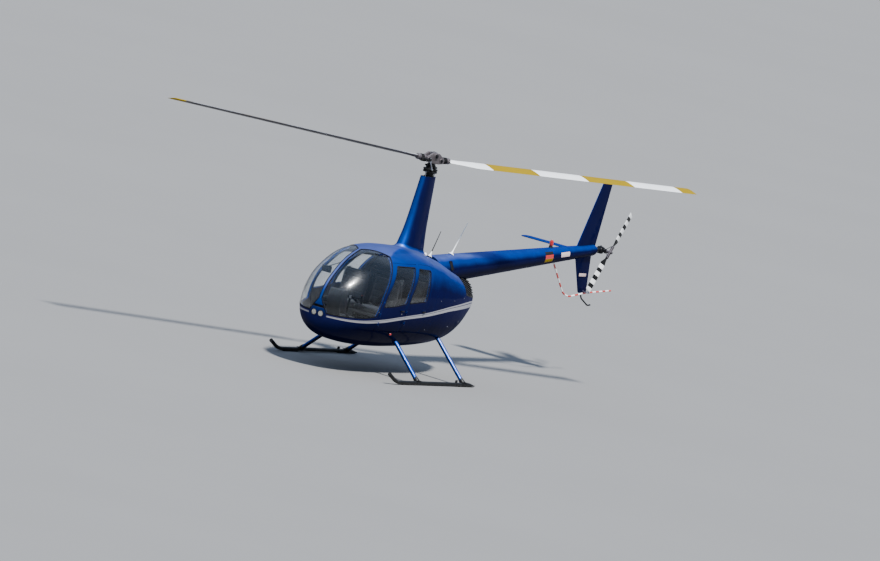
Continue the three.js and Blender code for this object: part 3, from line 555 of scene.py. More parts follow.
NOSE_X, STERN_X = 2.460, -1.900
SECTION_ROWS = [
  # x, top, bottom, half width, height of the widest line, squareness above and below
  (NOSE_X, 0.930, 0.930, 0.000, 0.930, 2.0, 2.0), (2.400, 1.190, 0.640, 0.235, 0.910, 2.1, 2.0),
  (2.200, 1.440, 0.485, 0.460, 0.932, 2.1, 2.1), (1.900, 1.672, 0.425, 0.588, 0.975, 2.2, 2.2),
  (1.450, 1.840, 0.386, 0.655, 1.025, 2.3, 2.3), (0.950, 1.880, 0.374, 0.668, 1.052, 2.4, 2.4),
  (0.400, 1.866, 0.384, 0.656, 1.052, 2.4, 2.4), (-0.100, 1.818, 0.408, 0.630, 1.050, 2.4, 2.4),
  (-0.550, 1.748, 0.444, 0.582, 1.050, 2.3, 2.4), (-1.000, 1.645, 0.508, 0.494, 1.055, 2.2, 2.3),
  (-1.350, 1.558, 0.612, 0.393, 1.072, 2.1, 2.2), (-1.620, 1.498, 0.752, 0.298, 1.098, 2.1, 2.1),
  (-1.830, 1.424, 0.935, 0.208, 1.135, 2.1, 2.0), (STERN_X, 1.150, 1.150, 0.000, 1.150, 2.0, 2.0),
]
FIREWALL_X = 0.080
WALL = 0.032
DOOR_GAP = 0.0045  # between a door and its frame
SEAM = 0.0012  # between two panels
THIN_SKIN, PANE = 0.012, (0.004, 0.010)  # depth of the doors' skin, and depths of the panes' two faces


def angle_at(x):
    return np.arccos(np.clip((2 * np.asarray(x, float) - NOSE_X - STERN_X) / (NOSE_X - STERN_X), -1, 1))


def smooth_line(stations, values, at):
    """Curve through the values without overshoot."""
    steps = np.diff(stations)
    slopes = np.diff(values) / steps
    tangents = np.zeros(len(values))
    tangents[0], tangents[-1] = slopes[0], slopes[-1]
    for i in range(1, len(values) - 1):
        if slopes[i - 1] * slopes[i] > 0:
            h0, h1 = steps[i - 1], steps[i]
            tangents[i] = 3 * (h0 + h1) / ((2 * h1 + h0) / slopes[i - 1] + (h1 + 2 * h0) / slopes[i])
    at = np.asarray(at, float)
    i = np.clip(np.searchsorted(stations, at, side="right") - 1, 0, len(steps) - 1)
    h = steps[i]
    t = (at - stations[i]) / h
    return ((1 + 2 * t) * (1 - t) ** 2 * values[i] + t * (1 - t) ** 2 * h * tangents[i]
            + t * t * (3 - 2 * t) * values[i + 1] + t * t * (t - 1) * h * tangents[i + 1])


SECTION_TABLE = np.array(SECTION_ROWS)
STATIONS = angle_at(SECTION_TABLE[:, 0])


def section(x):
    """top, bottom, half, wide, up and down at x, each as an array."""
    u = angle_at(x)
    return [smooth_line(STATIONS, SECTION_TABLE[:, k], u) for k in range(1, 7)]


# The crease along each shoulder, where the flatter top cowl meets the side: x, height, share of flattening
CREASE = np.array([(-1.90, 1.20, 0.0), (-1.62, 1.285, 0.15), (-1.262, 1.336, 0.42), (-0.961, 1.389, 0.46),
                   (-0.715, 1.453, 0.46), (-0.475, 1.526, 0.44), (-0.261, 1.590, 0.40), (-0.057, 1.630, 0.25),
                   (FIREWALL_X, 1.660, 0.0), (2.5, 1.70, 0.0)])


def flat_top(x, y, top, half, wide, up, depth=0.0):
    """Height of the straight line from the crease to the ridge at y, and the share of flattening there."""
    level, share = [smooth_line(CREASE[:, 0], CREASE[:, k], x) for k in (1, 2)]
    rise = np.clip((level - wide) / np.maximum(top - wide, 1e-4), 0, 0.999)
    edge = np.maximum(half * (1 - rise ** up) ** (1 / up), 1e-3)
    across = np.abs(y) / edge
    return top - depth + (level - top) * across, np.where(across < 1, share, 0.0)


def skin_value(points):
    """Below 0 inside the fuselage surface and above 0 outside it."""
    x, y, z = np.asarray(points, float).reshape(-1, 3).T
    top, bottom, half, wide, up, down = section(x)
    line, share = flat_top(x, y, top, half, wide, up)
    z = np.where(z > line, line + (z - line) / (1 - share), z)
    power = np.where(z >= wide, up, down)
    rise = np.maximum(np.where(z >= wide, top - wide, wide - bottom), 1e-4)
    r = (np.abs(y / np.maximum(half, 1e-4)) ** power + np.abs((z - wide) / rise) ** power) ** (1 / power)
    return r - 1


def skin_normal(points):
    """Outward directions of the surface near the points."""
    points = np.asarray(points, float).reshape(-1, 3)
    step = 0.002
    columns = [skin_value(points + step * axis) - skin_value(points - step * axis) for axis in np.eye(3)]
    normal = np.stack(columns, 1)
    return normal / np.maximum(np.linalg.norm(normal, axis=1, keepdims=True), 1e-9)


def skin_side(x, z, sign):
    """The surface point at this x and height, on one side."""
    top, bottom, half, wide, up, down = [float(v) for v in section(x)]
    power = up if z >= wide else down
    rise = top - wide if z >= wide else wide - bottom
    y = half * max(1 - min(abs(z - wide) / max(rise, 1e-4), 1) ** power, 0) ** (1 / power)
    return Vector((x, sign * y, z))


def skin_top(x, y):
    """The roof's point at this x and y."""
    top, _, half, wide, up, _ = [float(v) for v in section(x)]
    z = wide + (top - wide) * max(1 - min(abs(y) / half, 1) ** up, 0) ** (1 / up)
    line, share = flat_top(x, y, top, half, wide, up)
    return Vector((x, y, z - float(share) * max(z - float(line), 0)))


def fuselage_mesh(inset, lengthwise=110, around=128):
    """Closed surface set in from the fuselage skin, spaced as the solids' sections are."""
    rows = []
    for i in range(1, lengthwise):
        share = pi * i / lengthwise
        outer = (NOSE_X + STERN_X) / 2 + (NOSE_X - STERN_X) / 2 * cos(share)
        top, bottom, half, wide, up, down = [float(v) for v in section(outer)]
        depth = inset * sin(share)
        turns = np.arange(around) * 2 * pi / around
        c, s = np.cos(turns), np.sin(turns)
        power = np.where(s >= 0, up, down)
        r = (np.abs(c) ** power + np.abs(s) ** power) ** (-1 / power)
        rise = np.maximum(np.where(s >= 0, top - wide, wide - bottom) - depth, 0.001)
        x = np.full(around, outer - inset * cos(share))
        y, z = max(half - depth, 0.001) * c * r, wide + rise * s * r
        line, flatter = flat_top(outer, y, top, half, wide, up, depth)
        rows.append(np.stack([x, y, z - flatter * np.maximum(z - line, 0)], 1))
    ends = [(NOSE_X - inset, 0, SECTION_ROWS[0][4]), (STERN_X + inset, 0, SECTION_ROWS[-1][4])]
    points = np.concatenate([np.array(ends), *rows])
    faces = []
    for k in range(around):
        n = (k + 1) % around
        faces.append((0, 2 + k, 2 + n))
        last = 2 + (lengthwise - 2) * around
        faces.append((1, last + n, last + k))
        for i in range(lengthwise - 2):
            a, b = 2 + i * around, 2 + (i + 1) * around
            faces.append((a + k, b + k, b + n, a + n))
    return points, faces


# Cutting of panels from the fuselage's curved body

cutters = []
WIDE = 0.9  # beyond the fuselage on either side


def plain_object(points, faces):
    """A bare mesh object in mast coordinates."""
    mesh = bpy.data.meshes.new("cutter")
    mesh.from_pydata([tuple(map(float, p)) for p in points], [], [tuple(map(int, f)) for f in faces])
    face_outwards(mesh)
    cutters.append(add_object("cutter", mesh))
    return cutters[-1]


def prism(outline, low=-WIDE, high=WIDE, axes="xz", grow=0.0):
    """A prism through an outline in the named plane, from low to high along the third axis."""
    points = lifted(grown(outline, grow) if grow else outline, low, high, axes)
    return plain_object(points, lifted_faces(points))


def slab(low, high):
    """A plain block between two corners."""
    (x0, y0, z0), (x1, y1, z1) = low, high
    return prism([(x0, z0), (x1, z0), (x1, z1), (x0, z1)], y0, y1)


def side_slab(sign, near, low, high):
    """A plain block between two corners of x and z, from near the middle to beyond one side."""
    y0, y1 = sorted((sign * near, sign * WIDE))
    return slab((low[0], y0, low[1]), (high[0], y1, high[1]))


def rod(path, radius, sides=24):
    form = Form(PAINT).tube(path, radius, sides)
    return plain_object(form.points, form.faces)


def within(other):
    return "INTERSECT", other


def less(other):
    return "DIFFERENCE", other


def plus(other):
    return "UNION", other


def combine(base, *steps):
    """A new bare object: base, then each step with another object."""
    result = base.copy()
    result.data = base.data.copy()
    bpy.context.collection.objects.link(result)
    for operation, other in steps:
        change = result.modifiers.new("cut", "BOOLEAN")
        change.operation, change.object, change.solver = operation, other, "MANIFOLD"
    mesh = bpy.data.meshes.new_from_object(result.evaluated_get(bpy.context.evaluated_depsgraph_get()))
    result.modifiers.clear()
    result.data = mesh
    cutters.append(result)
    return result


def layer(outer, inner):
    """The fuselage's skin between two depths below its surface."""
    return combine(plain_object(*fuselage_mesh(outer)), less(plain_object(*fuselage_mesh(inner))))


ALIGNED = 0.85  # how far a face's direction has to agree with the surface's, as a cosine


def skin_shaded(mesh):
    """Smooth shading whose directions on the outer and inner faces follow the fuselage surface itself."""
    smooth_shade(mesh, 30)
    corners = read(mesh.loops, "vertex_index", 1, int)
    faces = np.repeat(np.arange(len(mesh.polygons)), read(mesh.polygons, "loop_total", 1, int))
    surface = skin_normal(read(mesh.vertices, "co"))[corners]
    along = (surface * read(mesh.polygons, "normal")[faces]).sum(1)[:, None]
    chosen = np.where(along > ALIGNED, surface, read(mesh.corner_normals, "vector"))
    chosen = np.where(along < -ALIGNED, -surface, chosen)
    mesh.normals_split_custom_set([tuple(v) for v in chosen])


def panel(name, shape, body, materials, replaces=()):
    """A finished piece of the fuselage skin. The second material goes on its inner faces."""
    mesh = shape.data.copy()
    mesh.name = name
    skin_shaded(mesh)
    mesh.materials.clear()
    for material in materials:
        mesh.materials.append(material)
    if len(materials) > 1:
        towards = (skin_normal(read(mesh.polygons, "center")) * read(mesh.polygons, "normal")).sum(1)
        mesh.polygons.foreach_set("material_index", (towards < -0.5).astype(int))
    mesh.transform(Matrix.Translation((MAST_X, 0, 0)))
    return place_object(name, mesh, body, replaces)


# Landing lamps in the nose, and the cabin air inlet above them as (y, z, rounding)
LAMP_Y, LAMP_Z, LAMP_R = 0.057, 0.818, 0.046
INLET = [(-0.108, 0.904, 0.012), (0.104, 0.904, 0.012), (0.086, 0.944, 0.014), (-0.090, 0.944, 0.014)]


def lamp_place(sign):
    """A landing lamp's centre on the nose's surface, and the way it points."""
    low, high = 1.6, NOSE_X - 0.0005
    for _ in range(40):
        middle = (low + high) / 2
        low, high = (middle, high) if skin_value([(middle, sign * LAMP_Y, LAMP_Z)])[0] < 0 else (low, middle)
    centre = Vector((low, sign * LAMP_Y, LAMP_Z))
    return centre, (Vector(skin_normal(centre)[0]) + X).normalized()


# Side outlines: x, height and rounding of each corner
SILL_Z = 0.900
SCREEN = [
  (2.7, 0.835), (2.35, 0.838), (1.961, 0.877), (1.765, 0.915, 0.03), (1.665, 1.225, 0.12), (1.226, 1.851),
  (1.226, 2.1), (2.7, 2.1),
]
SCREEN_PLAN = [(3.0, -0.9), (3.0, 0.9), (0.729, 0.9), (1.623, 0.0), (0.729, -0.9)]
FRONT_DOOR = [(1.694, 0.700, 0.06), (1.694, 1.018, 0.06), (1.625, 1.225, 0.08), (1.292, 1.700, 0.03),
              (0.642, 1.700, 0.03), (0.967, 1.260, 0.08), (1.032, 1.060, 0.06), (1.032, 0.700, 0.06)]
REAR_DOOR = [(0.988, 0.700, 0.06), (0.988, 1.060, 0.06), (0.923, 1.260, 0.08), (0.598, 1.700, 0.03),
             (0.250, 1.690, 0.04), (0.130, 1.660, 0.04), (0.285, 1.400, 0.09), (0.345, 1.190, 0.08),
             (0.345, 0.700, 0.06)]
FRONT_WINDOW = [
  (1.632, 1.064, 0.025), (1.590, 1.215, 0.07), (1.238, 1.668, 0.035), (0.708, 1.664, 0.035),
  (0.985, 1.262, 0.06), (1.024, 1.140, 0.025), (1.300, 1.090, 0.10),
]
REAR_WINDOW = [
  (0.936, 1.143, 0.025), (0.892, 1.262, 0.06), (0.598, 1.648, 0.035), (0.209, 1.628, 0.04),
  (0.345, 1.400, 0.08), (0.412, 1.182, 0.04),
]
UPPER_COWL = [(FIREWALL_X, 1.660), (-0.261, 1.590), (-0.475, 1.526), (-0.715, 1.453), (-0.961, 1.389),
              (-1.240, 1.340), (-1.240, 2.1), (FIREWALL_X, 2.1)]
GRILLE = [(-1.240, 2.1), (-1.240, 1.340), (-1.266, 1.252), (-1.760, 1.190), (-2.1, 1.190), (-2.1, 2.1)]
BOW = 0.020  # half width of the centre post
NOSE_CAP = [(-0.152, 0.760), (0.152, 0.760), (0.145, 0.838), (BOW, 1.040), (-BOW, 1.040), (-0.145, 0.838)]
SPLIT = [(3.0, 0.3), (3.0, 0.835), (2.35, 0.838), (1.961, 0.877), (1.765, 0.915), (1.70, SILL_Z),
         (0.0, SILL_Z), (0.0, 0.3)]
BELLY = [(FIREWALL_X + 0.05, 0.3), (FIREWALL_X + 0.05, 0.64), (-1.3, 0.70), (-2.0, 0.82), (-2.0, 0.3)]
DOORS = (("front", FRONT_DOOR, FRONT_WINDOW), ("rear", REAR_DOOR, REAR_WINDOW))
SCREEN_LEVELS = (0.3, 2.2, "xy")  # heights between which the plan cuts, and its plane

# Landing gear, as in the solids
SKID_Y, SKID_R, LEG_R = 1.031, 0.028, 0.030
# Cross tubes: name, x, and the knee's y and height
LEG_ROWS = (("cross_tube_front", 0.819, 0.500, 0.545), ("cross_tube_rear", -0.598, 0.420, 0.610))
# The tail cone's ends: x, height of the middle line, radius
CONE_FRONT, CONE_REAR = (-0.600, 1.524, 0.2310), (-5.720, 1.972, 0.0835)
FOOT_Z = 0.036  # height of the skids' middle


def cone_at(x):
    """Height of the tail cone's middle line, and its radius."""
    share = (x - CONE_FRONT[0]) / (CONE_REAR[0] - CONE_FRONT[0])
    return tuple(a + (b - a) * share for a, b in zip(CONE_FRONT[1:], CONE_REAR[1:]))


def leg_path(x, knee_y, knee_z, foot=0.0):
    """A cross tube's corners. Its ends may stop short of the skids' middle, by foot along y."""
    z = FOOT_Z + foot * (knee_z - FOOT_Z) / (SKID_Y - knee_y)
    return [(x, SKID_Y - foot, z), (x, knee_y, knee_z), (x, -knee_y, knee_z), (x, foot - SKID_Y, z)]


def cone_hole(front, sides):
    """A rod round the tail cone with a little room, from x front to behind the stern."""
    path = [(x, 0, cone_at(x)[0]) for x in (front, -2.2)]
    return less(rod(path, [cone_at(p[0])[1] + SEAM for p in path], sides))


def make_fuselage():
    shell, thin, pane_shell = layer(0, WALL), layer(0, THIN_SKIN), layer(*PANE)
    front = combine(shell, within(slab((FIREWALL_X + SEAM, -WIDE, 0), (3, WIDE, 2.4))))
    rear = combine(shell, within(slab((-3, -WIDE, 0), (FIREWALL_X - SEAM, WIDE, 2.4))))
    cabin = combine(front, *[less(prism(outline, grow=DOOR_GAP)) for _, outline, _ in DOORS])
    opening = combine(prism(SCREEN), within(prism(SCREEN_PLAN, *SCREEN_LEVELS)),
                      less(slab((1.2, -BOW, 0.8), (2.6, BOW, 2.2))))
    leg_cuts = [less(rod(bent(leg_path(*row[1:]), 0.06), LEG_R + 0.002)) for row in LEG_ROWS]
    cap_grown = prism(NOSE_CAP, 2.09, 2.61, "yz", SEAM)
    lower_region = combine(prism(SPLIT), plus(prism(NOSE_CAP, 2.1, 2.6, "yz")))
    lower_grown = combine(prism(SPLIT, grow=SEAM), plus(cap_grown))
    lamp_holes = []
    for _, sign in SIDES:
        centre, axis = lamp_place(sign)
        lamp_holes.append(less(rod([centre - axis * 0.09, centre + axis * 0.05], LAMP_R + 0.001, 48)))
    lower = combine(cabin, within(lower_region), *leg_cuts, *lamp_holes, less(prism(INLET, 2.2, 2.6, "yz")))
    roof = combine(cabin, less(lower_grown), less(opening))
    panel("lower_cabin_shell", lower, "fuselage", [PAINT_STRIPED, LINING], ["cabin_lower"])
    panel("roof_and_posts", roof, "fuselage", [PAINT_STRIPED, LINING], ["cabin_roof"])

    screen = combine(pane_shell, within(prism(SCREEN, grow=-SEAM)),
                     within(prism(SCREEN_PLAN, *SCREEN_LEVELS, -SEAM)), less(cap_grown))
    for side, sign in SIDES:
        half = within(side_slab(sign, BOW + SEAM, (1.0, 0.5), (2.7, 2.2)))
        panel(f"windscreen_pane_{side}", combine(screen, half), "fuselage", [GLASS],
              [f"windscreen_{side}"])

    for name, outline, window in DOORS:
        for side, sign in SIDES:
            reach = sorted((sign * 0.01, sign * WIDE))
            wall = combine(shell, within(prism(outline, *reach, grow=-0.010)))
            door = combine(thin, within(prism(outline, *reach)), plus(wall), less(prism(window, *reach)))
            pane = combine(pane_shell, within(prism(window, *reach, grow=-SEAM)))
            body = f"door_{name}_{side}"
            panel(f"door_panel_{name}_{side}", door, body, [PAINT_STRIPED, LINING], [body])
            panel(f"door_window_{name}_{side}", pane, body, [GLASS], [f"window_{name}_{side}"])

    cowls = combine(rear, *[less(prism(outline, grow=SEAM)) for outline in (UPPER_COWL, GRILLE, BELLY)],
                    *leg_cuts)
    belly = combine(rear, within(prism(BELLY)), *leg_cuts)
    panel("belly_cowl", belly, "fuselage", [PAINT, DARK_METAL], ["cowl_belly"])
    for side, sign in SIDES:
        half = within(side_slab(sign, SEAM, (-3, 0.2), (0.5, 2.2)))
        panel(f"engine_cowl_{side}", combine(cowls, half), "fuselage", [PAINT_STRIPED, DARK_METAL],
              [f"cowl_{side}"])
    cone_room = rod([(-0.56, 0, 1.512), (-1.5, 0, 1.593)], 0.18)
    deck = combine(rear, within(prism(UPPER_COWL)), cone_hole(CONE_FRONT[0] + 0.06, 96), less(cone_room),
                   less(slab((-0.52, -0.15, 1.6), (0.38, 0.15, 2.0))))
    panel("upper_deck_cowl", deck, "fuselage", [PAINT, DARK_METAL], ["cowl_upper"])


def make_seals():
    """Rubber round the windows and windscreens, standing a little proud of the skin."""
    rim = layer(-0.0016, 0.0038)
    for name, _, window in DOORS:
        for side, sign in SIDES:
            reach = sorted((sign * 0.01, sign * WIDE))
            seal = combine(rim, within(prism(window, *reach, grow=0.004)),
                           less(prism(window, *reach, grow=-0.008)))
            panel(f"window_seal_{name}_{side}", seal, f"door_{name}_{side}", [RUBBER])
    wide = combine(prism(SCREEN, grow=0.006), within(prism(SCREEN_PLAN, *SCREEN_LEVELS, 0.006)),
                   less(prism(NOSE_CAP, 2.05, 2.65, "yz", -0.006)),
                   less(slab((1.2, 0.004 - BOW, 0.8), (2.6, BOW - 0.004, 2.2))))
    narrow = combine(prism(SCREEN, grow=-0.009), within(prism(SCREEN_PLAN, 0.2, 2.3, "xy", -0.009)),
                     less(slab((1.15, -BOW - 0.010, 0.7), (2.7, BOW + 0.010, 2.3))),
                     less(prism(NOSE_CAP, 2.0, 2.7, "yz", 0.009)))
    panel("windscreen_seal", combine(rim, within(wide), less(narrow)), "fuselage", [RUBBER])


def make_grille():
    border = combine(layer(0, THIN_SKIN), within(prism(GRILLE, grow=-SEAM)), less(prism(GRILLE, grow=-0.022)))
    panel("grille_frame", border, "fuselage", [BLACK], ["stern_grille"])
    points, faces = [], []
    for z in np.arange(1.06, 1.60, 0.036):
        a = len(points)
        for x, low in ((-1.24, z + 0.09), (-1.95, z - 0.09)):
            for y in (-0.5, 0.5):
                points += [(x, y, low), (x, y, low + 0.008)]
        faces += [(a, a + 2, a + 3, a + 1), (a + 4, a + 5, a + 7, a + 6), (a, a + 1, a + 5, a + 4),
                  (a + 2, a + 6, a + 7, a + 3), (a, a + 4, a + 6, a + 2), (a + 1, a + 3, a + 7, a + 5)]
    hole = cone_hole(-0.5, 64)
    inner = combine(layer(0.003, 0.020), within(prism(GRILLE, grow=-0.004)))
    slats = combine(combine(inner, within(plain_object(points, faces))), hole)
    panel("grille_slats", slats, "fuselage", [PLASTIC])
    back = combine(layer(0.030, 0.034), within(prism(GRILLE, grow=-0.01)), hole)
    panel("grille_mesh", back, "fuselage", [RUBBER])


# Soft wide lights: name, turn from the nose to port, rise, width in degrees, strength
LIGHTS = (("key", 62, 60, 5, 8.6), ("fill", -40, 40, 60, 0.35), ("back", 200, 45, 60, 0.2))
# The surroundings' colour near the horizon and overhead
SKY = ((0.02, (0.14, 0.14, 0.15, 1)), (0.80, (0.42, 0.62, 1.00, 1)))


def make_stage():
    """A pale floor, a pale surrounding and soft lights."""
    mesh = bpy.data.meshes.new("floor")
    far = 1500
    mesh.from_pydata([(-far, -far, 0), (far, -far, 0), (far, far, 0), (-far, far, 0)], [], [(0, 1, 2, 3)])
    floor = add_object("floor", mesh)
    mesh.materials.append(rough_surface("pale_floor", (0.195, 0.191, 0.183), shade=0.97, rough=(0.9, 0.95),
                                        grain=2))
    world = bpy.data.worlds.new("surroundings")
    bpy.context.scene.world = world
    world.use_nodes = True
    tree = world.node_tree
    direction = tree.nodes.new("ShaderNodeTexCoord").outputs["Generated"]
    upward = tree.nodes.new("ShaderNodeSeparateXYZ")
    tree.links.new(direction, upward.inputs[0])
    ramp = tree.nodes.new("ShaderNodeValToRGB")
    tree.links.new(upward.outputs["Z"], ramp.inputs[0])
    for element, (height, colour) in zip(ramp.color_ramp.elements, SKY):
        element.position, element.color = height, colour
    tree.links.new(ramp.outputs[0], tree.nodes["Background"].inputs["Color"])
    for name, turn, rise, spread, power in LIGHTS:
        data = bpy.data.lights.new(name, "SUN")
        data.angle, data.energy = radians(spread), power
        add_object(name, data).rotation_euler = (0, radians(90 - rise), radians(turn))


def foil_half(chord, thick, along):
    """Half the thickness of a streamlined section, at a share of its chord."""
    return 5 * thick * chord * (0.2969 * sqrt(along) - 0.126 * along - 0.3516 * along ** 2
                                + 0.2843 * along ** 3 - 0.1036 * along ** 4)


def foil(chord, thick, lead, count=44):
    """Streamlined section, as rows of x from the leading edge back, half thickness and share of the chord."""
    points = []
    for k in range(count):
        along = (1 - cos(2 * pi * k / count)) / 2
        half = max(foil_half(chord, thick, along), 0.0007)
        points.append((lead - chord * along, half if k <= count / 2 else -half, along))
    return points


FAIRING = [
  # z, leading edge, chord, thickness share
  (1.640, 0.500, 0.900, 0.30), (1.870, 0.440, 0.790, 0.30), (2.150, 0.345, 0.640, 0.30),
  (2.550, 0.265, 0.520, 0.31), (2.950, 0.200, 0.420, 0.32),
]


def fairing_at(z):
    columns = list(zip(*FAIRING))
    return [float(smooth_line(np.array(columns[0]), np.array(columns[k]), z)) for k in (1, 2, 3)]


def make_fairing():
    form = Form(PAINT)
    rings = []
    for z in np.linspace(1.66, 2.95, 40):
        lead, chord, thick = fairing_at(z)
        rings.append([(x, y, z) for x, y, _ in foil(chord, thick, lead)])
    lead, chord, thick = fairing_at(2.95)
    for inset, z in ((0.004, 2.950), (0.006, 2.946), (0.008, 2.900)):
        rings.append([(x, y, z) for x, y, _ in foil(chord - 2 * inset, thick - 1.2 * inset / chord,
                                                    lead - inset)])
    form.rings(rings, closed=False)
    count, bend = 60, 0.055
    skirt = []
    for i in range(9):
        turn = pi / 2 * i / 8
        ring = []
        for k in range(count):
            height = 1.83
            for _ in range(3):
                lead, chord, thick = fairing_at(min(height, 2.9))
                shape = foil(chord, thick, lead, count)
                (ax, ay, _), (x, y, _), (bx, by, _) = shape[k - 1], shape[k], shape[(k + 1) % count]
                out = Vector((by - ay, ax - bx)).normalized() * (bend * (1 - sin(turn)) + 0.0006)
                out = -out if out.dot(Vector((x - lead + chord / 2, y))) < 0 else out
                height = skin_top(x + out.x, y + out.y).z + bend * (1 - cos(turn)) + 0.0008
            ring.append((x + out.x, y + out.y, height))
        skirt.append(ring)
    form.rings(skirt, closed=False)
    for z in (2.16, 2.56):
        lead, chord, thick = fairing_at(z)
        for k, (x, y, along) in enumerate(foil(chord, thick, lead, 60)):
            if k % 3 == 1 and 0.05 < along < 0.95:
                form.dome((x, y, z), (0, copysign(1, y), 0), 0.0028)
    form.use(BLACK)
    lead, chord, thick = fairing_at(2.93)
    plate = [(x, y) for x, y, _ in foil(chord - 0.014, thick - 0.02, lead - 0.007)]
    form.rings([[(x, y, 2.925) for x, y in plate], [(x, y, 2.931) for x, y in plate]])
    form.use(WHITE)
    tip = skin_top(-0.44, 0.0)
    form.lathe([(0.026, -0.01), (0.024, 0.008), (0.016, 0.022), (0.006, 0.029), (0, 0.030)], tip, Z, 20)
    form.piece("mast_fairing_shell", "fuselage", "blue_paint", ["mast_fairing"])


# Rotors

HEAD_TURN = -22.4  # degrees, forward blade towards starboard
HUB_PLACE = Matrix.Translation((0, 0, 3.209)) @ turned(HEAD_TURN, "Z", 4) @ turned(-1.33, "Y", 4)
BLADES = (("a", 0, 2.15), ("b", 180, 2.80))  # name, turn and coning in degrees
ROTOR_RADIUS, CHORD, BLADE_PITCH = 5.030, 0.254, 10.5
# Paint bands along a main blade, by share of the radius
BANDS = [(0.206, WHITE), (0.386, YELLOW), (0.574, WHITE), (0.753, YELLOW), (0.939, WHITE), (1.0, YELLOW)]
TIP_ROWS = [(4.86, CHORD, 0.12), (4.99, CHORD, 0.12), (5.012, CHORD * 0.97, 0.11),
            (5.025, CHORD * 0.93, 0.09), (ROTOR_RADIUS, CHORD * 0.88, 0.06)]
BAND_SLANT = 0.03


def blade_place(turn, coning):
    return HUB_PLACE @ turned(turn, "Z", 4) @ turned(-coning, "Y", 4)


def pleated(start, inner, outer, first, step, count, end):
    """A bellows profile between two end rows."""
    return [start] + [(outer if k % 2 else inner, first + step * k) for k in range(count)] + end


BALL_JOINT = mirrored([(0.004, 0.014), (0.0105, 0.010), (0.012, 0)])
LINK_END = mirrored([(0.004, 0.014), (0.013, 0.009), (0.0148, 0)])


def make_swashplates():
    """Fixed and turning plates on the shaft, their rods, the boot above them and the links to the grips."""
    form = Form(BLACK)
    form.lathe([(0.0275, 2.949), (0.062, 2.949), (0.068, 2.953), (0.068, 2.966), (0.0625, 2.970),
                (0.0625, 2.996), (0.068, 3.000), (0.068, 3.010), (0.0275, 3.010)], sides=48)
    form.use(DARK_METAL)
    form.lathe([(0.0275, 3.008), (0.070, 3.009), (0.100, 3.012), (0.108, 3.016), (0.108, 3.033),
                (0.103, 3.038), (0.060, 3.041), (0.0275, 3.041)], sides=64)
    for x, y in ((0.112, 0.0), (-0.098, 0.030), (-0.098, -0.030)):
        out = Vector((x, y, 0)).normalized()
        turn = Matrix.Rotation(atan2(y, x), 3, "Z")
        form.use(DARK_METAL).box((0.040, 0.024, 0.016), (x - out.x * 0.006, y - out.y * 0.006, 3.022), turn,
                                 0.004)
        form.use(ALUMINIUM).tube([(x + out.x * 0.006, y, 3.016), (x * 0.93, y * 0.9, 2.90)], 0.0065, 12)
        form.use(STEEL).lathe(BALL_JOINT, (x + out.x * 0.006, y, 3.014), out.cross(Z), 16)
    form.piece("fixed_swashplate", "fuselage", "black_paint")

    form = Form(BLACK)
    form.lathe([(0.0268, 3.043), (0.060, 3.043), (0.101, 3.044), (0.109, 3.049), (0.109, 3.068),
                (0.103, 3.074), (0.066, 3.077), (0.0268, 3.077)], sides=64)
    pleats = [((0.072 if k % 2 else 0.064) - 0.0012 * k, 3.076 + 0.0088 * k) for k in range(9)]
    form.use(RUBBER).lathe([(0.0268, 3.074)] + pleats + [(0.0268, 3.149)], sides=40)
    form.use(DARK_METAL).lathe([(0.0268, 3.145), (0.042, 3.147), (0.044, 3.152), (0.044, 3.168),
                                (0.038, 3.172), (0.0268, 3.173)], sides=32)
    low, high = Vector((0.062, 0.112, 3.064)), Vector((0.132, 0.132, 3.178))
    for _, turn, _ in BLADES:
        spin = turned(HEAD_TURN + turn, "Z")
        form.use(DARK_METAL).box((0.044, 0.064, 0.018), spin @ Vector((0.056, 0.090, 3.058)), spin, 0.005)
        for paint, start, end, radius in ((STEEL, 0, 0.28, 0.0105), (ALUMINIUM, 0, 1, 0.0075),
                                          (STEEL, 0.72, 1, 0.0105)):
            form.use(paint).tube([spin @ (low + (high - low) * share) for share in (start, end)], radius, 14)
        for end in (low, high):
            form.lathe(LINK_END, spin @ end, spin @ Vector((1, 0.2, 0)), 18)
    for turn in (66, 246):
        spin = turned(turn, "Z")
        elbow = spin @ Vector((0.122, 0, 3.105))
        form.use(DARK_METAL).box((0.020, 0.026, 0.022), spin @ Vector((0.098, 0, 3.072)), spin, 0.004)
        form.tube([spin @ Vector((0.098, 0, 3.076)), elbow], 0.011, 12)
        form.tube([elbow, spin @ Vector((0.046, 0, 3.158))], 0.010, 12)
        form.lathe(mirrored([(0.004, 0.020), (0.014, 0.017)]), elbow, spin @ Y, 16)
    form.piece("turning_swashplate", "main_rotor", "black_paint")


